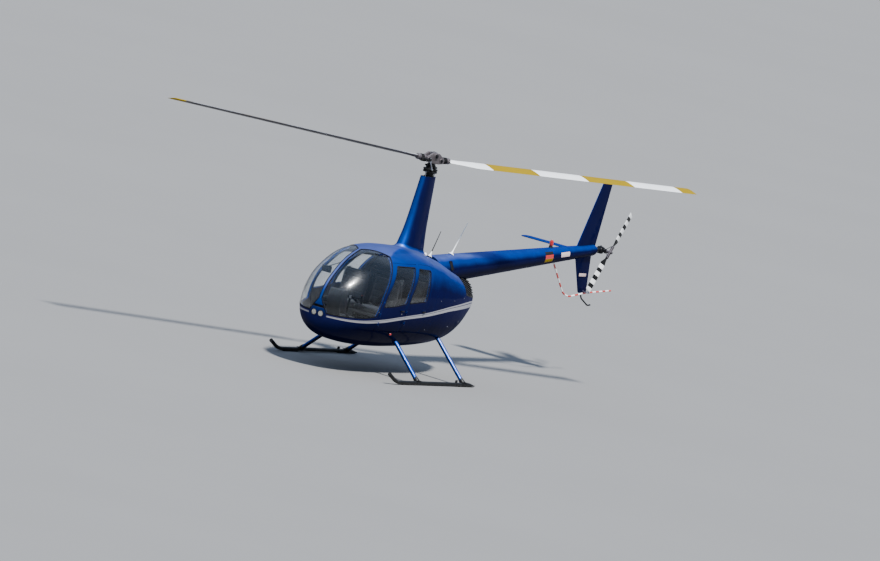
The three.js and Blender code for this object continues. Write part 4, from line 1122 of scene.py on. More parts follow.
def make_hub():
    """The teetering hub with its cheek plates and bolts, and the two blade grips."""
    form = Form(HUB_METAL)
    form.box((0.120, 0.150, 0.110), (0, 0, 0.046), bevel=0.018)
    form.box((0.300, 0.070, 0.050), (0, 0, 0), bevel=0.010)
    half = [(-0.168, -0.036, 0.02), (-0.174, 0.030, 0.025), (-0.120, 0.064, 0.03), (-0.062, 0.106, 0.02)]
    cheek = half + [(-x, z, bend) for x, z, bend in reversed(half)]
    cheek += [(0.075, -0.056, 0.03), (-0.075, -0.056, 0.03)]
    for low, high in ((0.040, 0.068), (-0.068, -0.040)):
        form.plate(cheek, low, high, 0.005)
    form.lathe([(0, 0.096), (0.050, 0.096), (0.052, 0.106), (0.044, 0.112), (0, 0.112)], sides=40)
    for x, z, reach, size in ((0, 0.060, 0.074, 0.027), (0.118, 0.004, 0.067, 0.023),
                              (-0.118, 0.004, 0.067, 0.023)):
        for sign in (1, -1):
            base, out = Vector((x, sign * reach, z)), Y * sign
            form.use(HUB_METAL).lathe([(size * 1.55, -0.004), (size * 1.55, 0.005), (size * 1.4, 0.008),
                                       (size * 1.1, 0.008), (0, 0.006)], base, out, 32)
            form.use(BLACK).lathe([(0, 0.0082), (size * 1.12, 0.0082), (size * 1.12, 0.0090), (0, 0.0090)],
                                  base, out, 28)
            form.use(DARK_METAL).bolt(base + out * 0.009, out, size * 0.85, size * 0.55)
    for t in circle(6):
        form.use(STEEL).bolt((0.036 * cos(t), 0.036 * sin(t), 0.111), Z, 0.0060)
    form.use(BLACK)
    form.lathe([(0.027, 0), (0.036, 0.002), (0.038, 0.010), (0.030, 0.014), (0.0275, 0.014)], (0, 0, -0.050))
    form.lathe([(0.0, 0), (0.018, 0), (0.018, 0.006), (0.011, 0.010), (0, 0.011)], (0, 0, 0.1105), Z, 24)
    form.piece("hub_casting", "main_rotor", "bare_metal", ["rotor_hub"], place=HUB_PLACE)

    for name, turn, coning in BLADES:
        form = Form(HUB_METAL)
        form.lathe([(0.020, 0.146), (0.042, 0.148), (0.0465, 0.154), (0.0465, 0.180), (0.041, 0.186),
                    (0.040, 0.252), (0.046, 0.258), (0.0475, 0.286), (0.045, 0.304), (0.040, 0.312),
                    (0.030, 0.320), (0.010, 0.320)], ORIGIN, X, 48)
        pitched = turned(8, "X")
        form.box((0.072, 0.106, 0.040), (0.288, 0.004, 0), pitched, 0.012)
        # Painted shade: the black block under the grip stands in for the shade beneath it, and the pitch horn
        # beside it is black as well
        form.use(BLACK).box((0.090, 0.060, 0.060), (0.214, 0.040, -0.026), bevel=0.016)
        form.box((0.070, 0.105, 0.036), (0.176, 0.074, -0.016), turned(24, "Z"), 0.012)
        form.lathe(mirrored([(0, 0.020), (0.017, 0.020), (0.019, 0.016)]), (0.140, 0.122, -0.010), Z, 24)
        form.use(STEEL)
        for x, y in ((0.272, 0.040), (0.272, -0.034), (0.306, 0.040), (0.306, -0.034)):
            for sign in (1, -1):
                spot = pitched @ Vector((0, y, sign * 0.020))
                form.bolt((x, spot.y, spot.z), pitched @ (Z * sign), 0.0075)
        for t in circle(8):
            form.bolt((0.180, 0.0440 * cos(t) * 0.9, 0.0440 * sin(t) * 0.9), X, 0.0040)
        form.bolt((0.140, 0.122, 0.010), Z, 0.010)
        form.bolt((0.140, 0.122, -0.029), (0, 0, -1), 0.009)
        pleats = pleated((0.030, -0.032), 0.0445, 0.051, -0.031, 0.0078, 9, [(0.030, 0.034)])
        form.use(RUBBER).lathe(pleats, (0.219, 0, 0), X, 36)
        form.piece(f"blade_grip_{name}", "main_rotor", "bare_metal", [f"grip_{name}"],
                   place=blade_place(turn, coning))


def blade_ring(at, chord, thick, twist=None):
    """A section of a main blade. Without a twist it is the edge of a paint band, which runs at a slant."""
    ring = []
    for x, t, along in foil(chord, thick, chord * 0.28):
        place, share = at, twist
        if twist is None:
            place = at + BAND_SLANT * (along - 0.5)
            share = 1 - 0.2 * (place - 0.76) / (ROTOR_RADIUS - 0.76)
        c, s = cos(radians(BLADE_PITCH * share)), sin(radians(BLADE_PITCH * share))
        ring.append((place, x * c - t * s, x * s + t * c))
    return ring


def make_main_blades():
    root = [(0.292, 0.112, 0.42), (0.300, 0.118, 0.42), (0.345, 0.126, 0.36), (0.400, 0.138, 0.30),
            (0.460, 0.152, 0.25), (0.520, 0.170, 0.21), (0.590, 0.196, 0.17), (0.660, 0.225, 0.14),
            (0.720, 0.246, 0.125), (0.780, CHORD, 0.12), (0.84, CHORD, 0.12)]
    rings = [blade_ring(*row, 1) for row in root]
    rings += [blade_ring(share * ROTOR_RADIUS, CHORD, 0.12) for share, _ in BANDS[:-1]]
    paints = [WHITE] * len(root) + [paint for _, paint in BANDS[1:]]
    tip = len(rings)
    rings += [blade_ring(*row, 0.8) for row in TIP_ROWS]
    paints += [YELLOW] * len(TIP_ROWS)
    count = len(rings[0])

    def paint_at(i, j):
        under = j >= count / 2 or j < 4
        return paints[i] if i >= tip or not under else UNDERSIDE

    for name, turn, coning in BLADES:
        form = Form().painted_rings(rings, paint_at, UNDERSIDE, YELLOW)
        form.piece(f"rotor_blade_{name}", "main_rotor", "white_paint", [f"main_blade_{name}"], 30,
                   blade_place(turn, coning), weld=True)


TAIL_X, TAIL_Z, TAIL_PITCH = -5.890, 1.980, 0.14
TAIL_PLACE = Matrix.Translation((TAIL_X, 0.170, TAIL_Z)) @ turned(-33.5, "Y", 4)
TAIL_BANDS = [0.243, 0.315, 0.378, 0.455, 0.527, 0.605, 0.675]


def tail_ring(at, chord, thick, slant=0.0):
    c, s = cos(TAIL_PITCH), sin(TAIL_PITCH)
    return [(x * c - t * s, 0.012 + x * s + t * c, at + slant * (along - 0.5))
            for x, t, along in foil(chord, thick, chord * 0.35, 32)]


def make_tail_rotor():
    rows = [(0.100, 0.040, 0.32), (0.150, 0.060, 0.26), (0.19, 0.095, 0.17), (0.222, 0.13, 0.13)]
    paints = [BLACK] * len(rows) + [BLACK if k % 2 else WHITE for k in range(len(TAIL_BANDS))] + [WHITE] * 3
    rows += [(at, 0.13, 0.128 - 0.05 * (at - 0.23), 0.030) for at in TAIL_BANDS]
    rows += [(0.725, 0.13, 0.1), (0.732, 0.124, 0.07), (0.735, 0.116, 0.03)]
    rings = [tail_ring(*row) for row in rows]
    for name, turn, _ in BLADES:
        form = Form().painted_rings(rings, lambda i, j: paints[i], BLACK, WHITE)
        form.piece(f"tail_rotor_blade_{name}", "tail_rotor", "white_paint", [f"tail_blade_{name}"], 30,
                   TAIL_PLACE @ turned(turn, "Y", 4), weld=True)
    form = Form(HUB_METAL)
    form.box((0.044, 0.034, 0.220), (0, 0.012, 0), bevel=0.006)
    form.lathe([(0.0145, -0.048), (0.022, -0.048), (0.024, -0.044), (0.024, 0.030), (0.020, 0.048),
                (0, 0.048)], ORIGIN, Y, 28)
    form.use(DARK_METAL)
    for z in (0.102, 0.075, -0.075, -0.102):
        for sign in (1, -1):
            form.bolt((0, 0.012 + sign * 0.016, z), Y * sign, 0.008)
        form.bolt((0.022, 0.012, z), X, 0.006)
    form.bolt((0, 0.046, 0), Y, 0.014)
    form.lathe([(0.0145, -0.075), (0.036, -0.073), (0.038, -0.062), (0.0145, -0.058)], ORIGIN, Y, 28)
    for sign in (1, -1):
        form.tube([(0.036 * sign, -0.066, 0), (0.040 * sign, -0.02, 0.05 * sign),
                   (0.040 * sign, 0.010, 0.085 * sign)], 0.0045, 10)
    form.piece("tail_hub", "tail_rotor", "bare_metal", ["tail_rotor_hub"], place=TAIL_PLACE)


# Tail

CONE_JOINTS = [-1.18, -1.80, -2.42, -3.04, -3.66, -4.28, -4.90, -5.46]
# Plates on the cone's port side: x of the middle, turn above the middle line, length, height, paint
PLATES = ((-4.63, 0.20, 0.28, 0.070, PLATE), (-4.11, 0.600, 0.25, 0.052, BLACK),
          (-4.11, 0.165, 0.25, 0.060, RED), (-4.11, -0.275, 0.25, 0.053, YELLOW))


def cone_side(x, turn, out=0.0):
    """A point on the tail cone, with turn measured from port upwards, and its outward direction."""
    z, r = cone_at(x)
    normal = Vector((0, cos(turn), sin(turn)))
    return Vector((x, 0, z)) + normal * (r + out), normal


def make_tail_cone():
    """The cone with a raised band and two rows of rivets at each joint, and a row along its underside."""
    form = Form(PAINT)
    path = [(-0.6155, 0.0), (-0.616, 0.0)]
    for x in CONE_JOINTS:
        path += [(round(x + step, 5), lift)
                 for step, lift in ((0.016, 0.0), (0.0155, 0.0009), (-0.0155, 0.0009), (-0.016, 0.0))]
    rows = [(x, cone_at(x)[0], cone_at(x)[1] + lift) for x, lift in path]
    rows += [(-5.63, 1.965, 0.086), (-5.665, 1.9685, 0.081), (-5.69, 1.9705, 0.072), (-5.71, 1.972, 0.055),
             (-5.712, 1.972, 0.03)]
    form.rings([[(x, r * cos(t), z + r * sin(t)) for t in circle(72)] for x, z, r in rows])
    for x in CONE_JOINTS:
        count = int(2 * pi * cone_at(x)[1] / 0.028)
        for row in (-0.0085, 0.0085):
            for k in range(count):
                form.dome(*cone_side(x + row, 2 * pi * (k + (row > 0) / 2) / count, 0.0008), 0.0018)
    for x in np.arange(-1.25, -5.4, -0.032):
        form.dome(*cone_side(x, -pi / 2), 0.0017)
    form.piece("tail_cone_skin", "fuselage", "blue_paint", ["tail_cone"])

    form = Form(RUBBER)
    centre, normal = cone_side(-0.965, 0.47)
    up = X.cross(normal)
    turn = facing(X, normal, up)
    form.box((0.070, 0.006, 0.130), centre + normal * 0.001, turn, 0.002)
    for side in (-1, 1):
        form.box((0.008, 0.012, 0.142), centre + X * side * 0.036 + normal * 0.003, turn, 0.002)
        form.box((0.076, 0.012, 0.008), centre + up * side * 0.068 + normal * 0.003, turn, 0.002)
    for k in range(-2, 3):
        form.box((0.064, 0.007, 0.006), centre + up * k * 0.024 + normal * 0.003, turn, 0.001)
    form.piece("cone_vent", "fuselage", "dark_plastic")

    form = Form()
    for x, turn, long, high, paint in PLATES:
        rings = []
        for at in (x - long / 2, x + long / 2):
            turns = [turn + (k / 6 - 0.5) * high / cone_at(at)[1] for k in range(7)]
            rings.append([cone_side(at, t, 0.0006)[0] for t in turns]
                         + [cone_side(at, t, -0.001)[0] for t in reversed(turns)])
        form.use(paint).rings(rings)
    form.use(PLATE).box((0.22, 0.0012, 0.046), (-5.485, 0.0235, 1.580), bevel=0.0004)
    form.piece("blank_plates", "fuselage", "white_paint")


STABILISER_Z = 1.952
# Fins and stabiliser: piece, node, whether level, rivet lines as shares of the chord, and rows of
# (height or y, leading edge, chord, thickness share)
WINGS = (
  ("upper_fin_skin", "fin_upper", False, (0.25, 0.7),
   ((1.995, -5.119, 0.595, 0.065), (2.995, -5.522, 0.305, 0.070), (3.013, -5.531, 0.293, 0.065),
    (3.027, -5.542, 0.278, 0.050), (3.035, -5.554, 0.255, 0.025))),
  ("lower_fin_skin", "fin_lower", False, (0.25, 0.7),
   ((1.92, -5.116, 0.538, 0.070), (1.330, -5.478, 0.282, 0.085), (1.315, -5.487, 0.270, 0.077),
    (1.304, -5.498, 0.257, 0.055), (1.300, -5.508, 0.240, 0.030))),
  ("stabiliser_skin", "stabiliser", True, (0.3, 0.65),
   ((-0.06, -5.050, 0.330, 0.09), (-0.915, -5.050, 0.330, 0.09), (-0.925, -5.055, 0.322, 0.075),
    (-0.932, -5.062, 0.310, 0.05), (-0.935, -5.067, 0.300, 0.03))),
)


def make_fins():
    for name, node, level, rivets, rows in WINGS:
        form = Form(PAINT)

        def spot(x, side, at):
            return (x, at, STABILISER_Z + side) if level else (x, side, at)

        form.rings([[spot(x, t, at) for x, t, _ in foil(chord, thick, lead, 48)]
                    for at, lead, chord, thick in rows])
        first, last = rows[0], rows[-2]
        steps = int(abs(last[0] - first[0]) / 0.035)
        for along in rivets:
            for k in range(1, steps):
                at, lead, chord, thick = [a + (b - a) * (k / steps) for a, b in zip(first, last)]
                for sign in (1, -1):
                    form.dome(spot(lead - chord * along, sign * foil_half(chord, thick, along), at),
                              (Z if level else Y) * sign, 0.0016)
        form.piece(name, "fuselage", "blue_paint", [node])


def striped_tube(form, path, radius, paints, pitch, sides=20):
    """A tube whose paint changes each pitch along its length."""
    points, marks, total = [path[0]], [0.0], 0.0
    for a, b in zip(path, path[1:]):
        length = (b - a).length
        steps = max(1, ceil(length / (pitch / 4)))
        for k in range(1, steps + 1):
            points.append(a + (b - a) * k / steps)
            marks.append(total + length * k / steps)
        total += length
    start = 0
    for band in range(int(total / pitch) + 1):
        nearest = min(range(len(marks)), key=lambda i: abs(marks[i] - (band + 1) * pitch))
        last = max(start + 1, nearest) if start + 1 < len(marks) else start
        if last > start:
            form.use(paints[band % len(paints)]).tube(points[start:last + 1], radius, sides)
        start = last


def make_tail_parts():
    form = Form()
    path = bent([(-4.46, 0, 1.79), (-4.96, 0.035, 1.285), (-5.13, 0.05, 1.238), (-5.57, 0.10, 1.322),
                 (-6.29, 0.13, 1.378)], 0.07, 10)
    striped_tube(form, path, 0.013, [WHITE, RED], 0.095)
    form.use(RED).lathe([(0.0131, -0.002), (0.0131, 0.004), (0.009, 0.011), (0, 0.013)], path[-1],
                        path[-1] - path[-2], 20)
    form.use(PAINT).box((0.075, 0.034, 0.010), (-4.478, 0, 1.757), Matrix.Rotation(0.087, 3, "Y"), 0.003)
    form.use(STEEL).lathe(mirrored([(0.0136, 0.014), (0.019, 0.014)]), (-5.64, 0.1029, 1.3274),
                          (-0.72, 0.03, 0.056), 20)
    form.tube([(-5.64, 0.095, 1.328), (-5.63, 0.004, 1.330)], 0.008, 12)
    form.piece("rotor_guard", "fuselage", "white_paint", ["tail_guard"])

    form = Form(BLACK)
    path = bent([(-5.585, 0, 1.31), (-5.65, 0, 1.215), (-5.90, 0, 1.107), (-5.985, 0, 1.117)], 0.03, 10)
    form.tube(path, 0.012, 20)
    form.lathe([(0.012, -0.002), (0.012, 0.002), (0.008, 0.010), (0, 0.012)], path[-1], path[-1] - path[-2],
               20)
    form.use(PAINT).box((0.10, 0.026, 0.010), (-5.600, 0, 1.298), bevel=0.003)
    form.piece("tail_skid_tube", "fuselage", "black_paint", ["tail_skid"])

    form = Form(DARK_METAL)
    x, z = TAIL_X, TAIL_Z
    form.lathe([(0.020, -0.042), (0.040, -0.040), (0.050, -0.032), (0.054, -0.026), (0.054, 0.046),
                (0.048, 0.056), (0.036, 0.062), (0.030, 0.066), (0.025, 0.074), (0.025, 0.084),
                (0.016, 0.087)], (x, 0, z), Y, 40)
    form.lathe([(0.036, 0.0), (0.046, 0.002), (0.046, 0.012), (0.036, 0.018), (0.034, 0.150)],
               (-5.700, 0, 1.972), (-1, 0, 0.04), 32)
    for t in circle(6):
        form.box((0.012, 0.066, 0.026), (x + 0.054 * cos(t), 0.010, z + 0.054 * sin(t)),
                 Matrix.Rotation(-t, 3, "Y"), 0.003)
    form.lathe([(0.0138, 0.084), (0.0138, 0.150), (0.010, 0.155)], (x, 0, z), Y, 24)
    for k in range(8):
        t = 2 * pi * (k + 0.5) / 8
        form.bolt((x + 0.045 * cos(t), 0.055, z + 0.045 * sin(t)), Y, 0.0045)
        form.bolt((x + 0.043 * cos(t), -0.036, z + 0.043 * sin(t)), (0, -1, 0), 0.0045)
        form.bolt((-5.712, 0.041 * cos(t), 1.9725 + 0.041 * sin(t)), (-1, 0, 0), 0.0035)
    form.lathe([(0.0, 0), (0.012, 0), (0.012, 0.014), (0.008, 0.018), (0, 0.019)], (x, 0.01, z + 0.052), Z,
               16)
    form.box((0.016, 0.080, 0.018), (x + 0.03, 0.058, z + 0.043), bevel=0.004)
    form.tube([(x + 0.03, 0.096, z + 0.043), (x + 0.045, 0.100, z)], 0.005, 10)
    form.piece("tail_gearbox_casting", "fuselage", "bare_metal", ["tail_gearbox"])

    form = Form(BLACK)
    z, r = cone_at(-4.31)
    top = (-4.31, 0, z + r)
    form.lathe([(0.034, -0.008), (0.034, 0.003), (0.029, 0.010), (0.027, 0.034), (0, 0.034)], top)
    form.use(RED_LENS).lathe([(0.027, 0.032), (0.030, 0.038), (0.030, 0.082), (0.027, 0.102), (0.018, 0.115),
                              (0, 0.120)], top)
    form.piece("beacon", "fuselage", "dark_plastic")

    form = Form()
    for foot, tip, base, whip in ((Vector((-0.59, 0, 1.747)), Vector((-0.76, 0, 2.12)), 0.026, BLACK),
                                  (Vector((-1.24, 0, 1.791)), Vector((-1.53, 0, 2.27)), 0.034, WHITE)):
        along = (tip - foot).normalized()
        form.use(WHITE).lathe([(base * 1.35, -0.010), (base * 1.3, 0.004), (base * 0.85, 0.012),
                               (base * 0.5, 0.030), (base * 0.30, 0.062), (base * 0.22, 0.088), (0, 0.092)],
                              foot, along, 28)
        form.use(whip).tube([foot + along * 0.08, foot + (tip - foot) * 0.5, tip], [0.0085, 0.0070, 0.0052],
                            12)
        form.lathe([(0.0052, -0.002), (0.0075, 0), (0.0075, 0.006), (0, 0.009)], tip, along, 12)
    form.piece("whip_antennas", "fuselage", "white_paint")


# The skids' rear end is cut to a long slope with a thin lip: x, half width, middle, rise above the middle
SKID_REAR, SKID_END = -0.735, -0.935
SKID_LIP = ((SKID_REAR, SKID_R, FOOT_Z, SKID_R), (-0.79, SKID_R, FOOT_Z, 0.022), (-0.86, 0.026, 0.034, 0.008),
            (-0.925, 0.022, 0.030, -0.010), (SKID_END, 0.018, 0.028, -0.013))


def make_skids():
    for side, sign in SIDES:
        y = sign * SKID_Y
        form = Form(BLACK)
        path = bent([(SKID_END, y, FOOT_Z), (1.48, y, FOOT_Z), (1.745, y, 0.155)], 0.12, 12)
        path[0] = Vector((SKID_REAR, y, FOOT_Z))
        form.tube(path, SKID_R, 32)
        form.rings([[(x, y + r * cos(t), middle + (r if sin(t) < 0 else rise) * sin(t)) for t in circle(32)]
                    for x, r, middle, rise in SKID_LIP])
        way = (path[-1] - path[-2]).normalized()
        form.lathe([(0.0282, -0.012), (0.0286, -0.010), (0.0286, 0.000), (0.024, 0.006), (0, 0.007)],
                   path[-1] - way * 0.007, way, 28)
        for x in (1.10, -0.65):
            form.use(BLACK).box((0.42, 0.044, 0.024), (x, y, 0.012), bevel=0.004)
            for k in (-0.17, 0, 0.17):
                form.use(STEEL_WORN).bolt((x + k, y + sign * 0.0215, 0.016), Y * sign, 0.005)
        form.use(BLACK)
        for _, x, knee_y, knee_z in LEG_ROWS:
            lean = Vector((0, sign * (SKID_Y - knee_y), FOOT_Z - knee_z)).normalized()
            form.lathe([(0.0305, -0.045), (0.035, -0.043), (0.037, -0.020), (0.042, 0.018), (0.040, 0.030),
                        (0.030, 0.036)], Vector((x, y, FOOT_Z)) - lean * 0.052, lean)
            form.box((0.135, 0.052, 0.012), (x, y, 0.0665), bevel=0.004)
            for k in (-0.052, 0.052):
                form.lathe(mirrored([(0.0282, 0.009), (0.0305, 0.008)]), (x + k, y, FOOT_Z), X)
                form.use(STEEL_WORN).bolt((x + k, y, 0.071), Z, 0.007)
                form.use(BLACK)
        form.box((0.060, 0.016, 0.050), (-0.36, y, 0.075), bevel=0.006)
        form.lathe(mirrored([(0.0282, 0.018), (0.032, 0.016)]), (-0.36, y, FOOT_Z), X)
        form.piece(f"skid_tube_{side}", "fuselage", "black_paint", [f"skid_{side}"])
    for name, *row in LEG_ROWS:
        path = bent(leg_path(*row, 0.022), 0.07, 12)
        rings = []
        for i, point in enumerate(path):
            other = heading(path, i).cross(X).normalized()
            rings.append([point + X * 0.037 * cos(t) + other * LEG_R * sin(t) for t in circle(40)])
        Form(PAINT_LEGS).rings(rings).piece(f"{name}_tube", "fuselage", "blue_paint", [name])


def make_nose_details():
    r = LAMP_R
    for side, sign in SIDES:
        centre, axis = lamp_place(sign)
        form = Form(DARK_METAL)
        form.lathe([(r - 0.007, -0.034), (r, -0.006), (r, 0.003), (r - 0.003, 0.0055), (r - 0.007, 0.003),
                    (r - 0.0085, -0.004), (r - 0.0095, -0.032)], centre, axis, 56)
        form.use(REFLECTOR)
        form.lathe([(r - 0.0085, -0.004), (r - 0.012, -0.020), (r - 0.024, -0.034), (0.008, -0.040),
                    (0, -0.040)], centre, axis, 56)
        form.lathe([(0.0075, -0.039), (0.0075, -0.024), (0.005, -0.018), (0, -0.018)], centre, axis, 20)
        form.piece(f"landing_lamp_{side}", "fuselage", "bare_metal")
        form = Form(LENS)
        form.lathe([(0, -0.0015), (r - 0.0083, -0.0045), (r - 0.0083, -0.0015), (0.030, 0.0025),
                    (0.015, 0.0045), (0, 0.005)], centre, axis, 56)
        form.piece(f"lamp_lens_{side}", "fuselage", "window")
    duct = combine(plain_object(*fuselage_mesh(0.026)), less(plain_object(*fuselage_mesh(0.031))),
                   within(prism(INLET, 2.2, 2.6, "yz", -0.0005)))
    panel("nose_inlet_screen", duct, "fuselage", [RUBBER])
    form = Form()
    for (_, sign), lens in zip(SIDES, (RED_LENS, GREEN_LENS)):
        base = skin_side(1.178, 0.661, sign)
        out = skin_normal(base)[0]
        form.use(BLACK).lathe([(0.026, -0.003), (0.026, 0.003), (0.021, 0.006), (0, 0.006)], base, out, 28)
        form.use(lens).lathe([(0.0185, 0.005), (0.0185, 0.010), (0.015, 0.018), (0.008, 0.022), (0, 0.023)],
                             base, out, 28)
    form.piece("position_lamps", "fuselage", "dark_plastic")


def dots(points, step):
    """Points spaced evenly along a path of straight runs."""
    walk = 0.0
    for a, b in zip(points, points[1:]):
        length = (b - a).length
        while walk < length:
            yield a + (b - a) * walk / max(length, 1e-6)
            walk += step
        walk -= length


def barrel(half):
    """The profile of a hinge barrel of this half length."""
    return mirrored([(0.0022, half), (0.0048, half), (0.0052, half - 0.001)])


# Each door's hinges as x, y and two heights, and its handle's x
DOOR_FITTINGS = (("front", 1.699, 0.638, (0.815, 0.950), 1.112),
                 ("rear", 0.993, 0.682, (0.850, 1.010), 0.432))
HANDLE_Z, RIVETS_TOP, RIVET_STEP = 1.030, 1.04, 0.055


def make_hardware():
    pin = mirrored([(0, 0.0290), (0.0036, 0.0285), (0.0036, 0.0264), (0.0021, 0.0262)])
    for name, x, y, heights, _ in DOOR_FITTINGS:
        for side, sign in SIDES:
            fixed, moving = Form(PAINT), Form(PAINT)
            for z in heights:
                centre = Vector((x, sign * y, z))
                fixed.lathe(barrel(0.0175), centre, Z, 20)
                fixed.box((0.018, 0.0200, 0.010), centre + Vector((0.010, -sign * 0.0115, 0)), bevel=0.003)
                for end in (1, -1):
                    ear = centre + Vector((0, 0, end * 0.0220))
                    moving.lathe(barrel(0.004), ear, Z, 20)
                    moving.box((0.018, 0.0170, 0.0070), ear + Vector((-0.0105, -sign * 0.0095, 0)),
                               bevel=0.002)
                fixed.use(STEEL).lathe(pin, centre, Z, 14)
                fixed.use(PAINT)
            fixed.piece(f"hinge_barrels_{name}_{side}", "fuselage", "blue_paint")
            moving.piece(f"hinge_ears_{name}_{side}", f"door_{name}_{side}", "blue_paint")
    for name, *_, x in DOOR_FITTINGS:
        for side, sign in SIDES:
            base = skin_side(x, HANDLE_Z, sign)
            out = Vector(skin_normal(base)[0])
            along = X - out * out.x
            along.normalize()
            up = along.cross(out) * (1 if along.cross(out).z > 0 else -1)
            turn = facing(along, out, up)
            form = Form(PAINT)
            form.box((0.118, 0.004, 0.044), base + out * 0.001, turn, 0.0015)
            form.use(DARK_METAL)
            form.box((0.085, 0.012, 0.016), base + out * 0.013 + along * 0.006, turn, 0.004)
            form.box((0.016, 0.014, 0.022), base + out * 0.008 + along * 0.045, turn, 0.004)
            form.use(STEEL).lathe([(0.0, 0), (0.0105, 0), (0.0105, 0.003), (0.008, 0.0045), (0, 0.0045)],
                                  base + out * 0.002 - up * 0.046, out, 20)
            form.use(BLACK).box((0.0015, 0.001, 0.009), base + out * 0.0068 - up * 0.046, turn, 0.0003)
            form.piece(f"door_handle_{name}_{side}", f"door_{name}_{side}", "bare_metal")
    for name, outline, _ in DOORS:
        points = rounded(grown([c[:2] + (0.05,) for c in outline], -0.022))
        for side, sign in SIDES:
            form = Form(PAINT)
            for at in dots(points + points[:1], RIVET_STEP):
                if at.y < RIVETS_TOP:
                    form.skin_dome(at.x, at.y, sign, 0.0020)
            form.piece(f"door_rivets_{name}_{side}", f"door_{name}_{side}", "blue_paint")


# Lines of screws on each side, as pairs of (x, height), and the places of the studs
SCREW_LINES = (((0.055, 0.66), (0.055, 1.56)), ((0.105, 0.70), (0.105, 1.60)),
               ((0.03, 0.665), (-1.28, 0.725)), ((0.03, 1.56), (-0.50, 1.435)),
               ((-0.53, 1.435), (-1.23, 1.325)))
STUDS = ((1.7295, 0.988), (0.188, 0.752), (-0.094, 1.197), (-0.62, 0.80), (-0.62, 1.20), (-1.10, 0.86),
         (-1.12, 1.22))


def make_fasteners():
    """Screws along the cowl seams and round the windscreens, and the small pale quarter-turn studs."""
    form = Form(PAINT)
    for _, sign in SIDES:
        for a, b in SCREW_LINES:
            a, b = Vector(a), Vector(b)
            steps = int((b - a).length / 0.07)
            for k in range(steps + 1):
                form.skin_dome(*(a + (b - a) * k / steps), sign, 0.0034)
    points = rounded(grown([c[:2] + (0.05,) for c in SCREEN[:6]], 0.020))
    for _, sign in SIDES:
        for at in dots(points, 0.085):
            if 1.3 < at.x < 2.33 and at.y < 1.78 and abs(skin_side(at.x, at.y, sign).y) > 0.16:
                form.skin_dome(at.x, at.y, sign, 0.0026)
    form.piece("cowl_screws", "fuselage", "blue_paint")
    form = Form(STEEL)
    for x, z in STUDS:
        for _, sign in SIDES:
            spot = skin_side(x, z, sign)
            form.lathe([(0.0085, -0.001), (0.0085, 0.0012), (0.0065, 0.0022), (0, 0.0022)], spot,
                       skin_normal(spot)[0], 18)
    form.piece("quarter_turn_studs", "fuselage", "bare_metal")


# Seats: name, x of the backrest's rear, height of its top
SEAT_ROWS = (("front", 0.910, 1.440), ("rear", 0.130, 1.460))
SEAT_BASE_Z, SEAT_BASE_H, SEAT_DEPTH, SEAT_WIDTH, SEAT_Y = 0.678, 0.230, 0.500, 0.460, 0.270


SEAT_WIDE = 0.505  # half width of a row of seats


def make_seat_frames():
    z = SEAT_BASE_Z + 0.0004
    high, wide = z + SEAT_BASE_H, SEAT_WIDE
    for name, back, top in SEAT_ROWS:
        form = Form(SHELL)
        form.plate([(back + 0.03, z), (back + 0.590, z), (back + 0.590, high, 0.02), (back + 0.03, high)],
                   -wide, wide, 0.010)
        form.plate([(back + 0.110, z), (back + 0.080, z), (back, top - 0.001), (back + 0.030, top - 0.001)],
                   -wide, wide, 0.009)
        for y in (-SEAT_Y, SEAT_Y):
            form.use(BLACK).box((0.006, 0.40, 0.16), (back + 0.5915, y, z + 0.115), bevel=0.003)
            form.use(STEEL)
            for side in (-0.17, 0.17):
                for rise in (-0.06, 0.06):
                    form.dome((back + 0.5945, y + side, z + 0.115 + rise), X, 0.005)
        form.piece(f"seat_structure_{name}", "fuselage", "dark_plastic", [f"seat_frame_{name}"])


def cushion_form(size):
    """A block with rounded edges, ready for the cloth simulation."""
    work = bevelled_block(size, min(size) * 0.30, 4)
    mesh = bpy.data.meshes.new("pad")
    work.to_mesh(mesh)
    work.free()
    return mesh


FRAMES = 20  # of the cloth simulation


def inflate(mesh, cap, voxel=0.0075, pressure=4.0):
    """Cloth simulation under a little pressure, with each point's travel held to the cap."""
    item = add_object("pad", mesh)
    remesh = item.modifiers.new("remesh", "REMESH")
    remesh.mode, remesh.voxel_size = "VOXEL", voxel
    graph = bpy.context.evaluated_depsgraph_get()
    item.data = bpy.data.meshes.new_from_object(item.evaluated_get(graph))
    item.modifiers.clear()
    points = read(item.data.vertices, "co")
    cloth = item.modifiers.new("cloth", "CLOTH")
    settings = cloth.settings
    settings.use_pressure, settings.uniform_pressure_force = True, pressure
    settings.effector_weights.gravity = 0
    settings.mass, settings.quality = 0.3, 6
    settings.tension_stiffness = settings.compression_stiffness = 18
    settings.bending_stiffness = 0.4
    cloth.collision_settings.use_self_collision = False
    cloth.point_cache.frame_start, cloth.point_cache.frame_end = 1, FRAMES
    scene = bpy.context.scene
    for frame_number in range(1, FRAMES + 1):
        scene.frame_set(frame_number)
        bpy.context.view_layer.update()
    graph = bpy.context.evaluated_depsgraph_get()
    result = bpy.data.meshes.new_from_object(item.evaluated_get(graph))
    move = read(result.vertices, "co") - points
    length = np.linalg.norm(move, axis=1, keepdims=True)
    points += move * np.minimum(1, cap / np.maximum(length, 1e-9))
    item.modifiers.clear()
    scene.frame_set(1)
    mesh = item.data
    mesh.vertices.foreach_set("co", points.reshape(-1))
    bpy.data.objects.remove(item, do_unlink=True)
    return mesh


def sew(mesh, channels, depth=0.007, width=0.006):
    """Press sewn channels into the front face, across the seat at these places along it."""
    points = read(mesh.vertices, "co")
    top = np.clip((points[:, 2] / max(points[:, 2].max(), 1e-6) - 0.1) / 0.6, 0, 1)
    for at in channels:
        points[:, 2] -= depth * np.exp(-((points[:, 0] - at) / width) ** 2) * top
    mesh.vertices.foreach_set("co", points.reshape(-1))
    return mesh


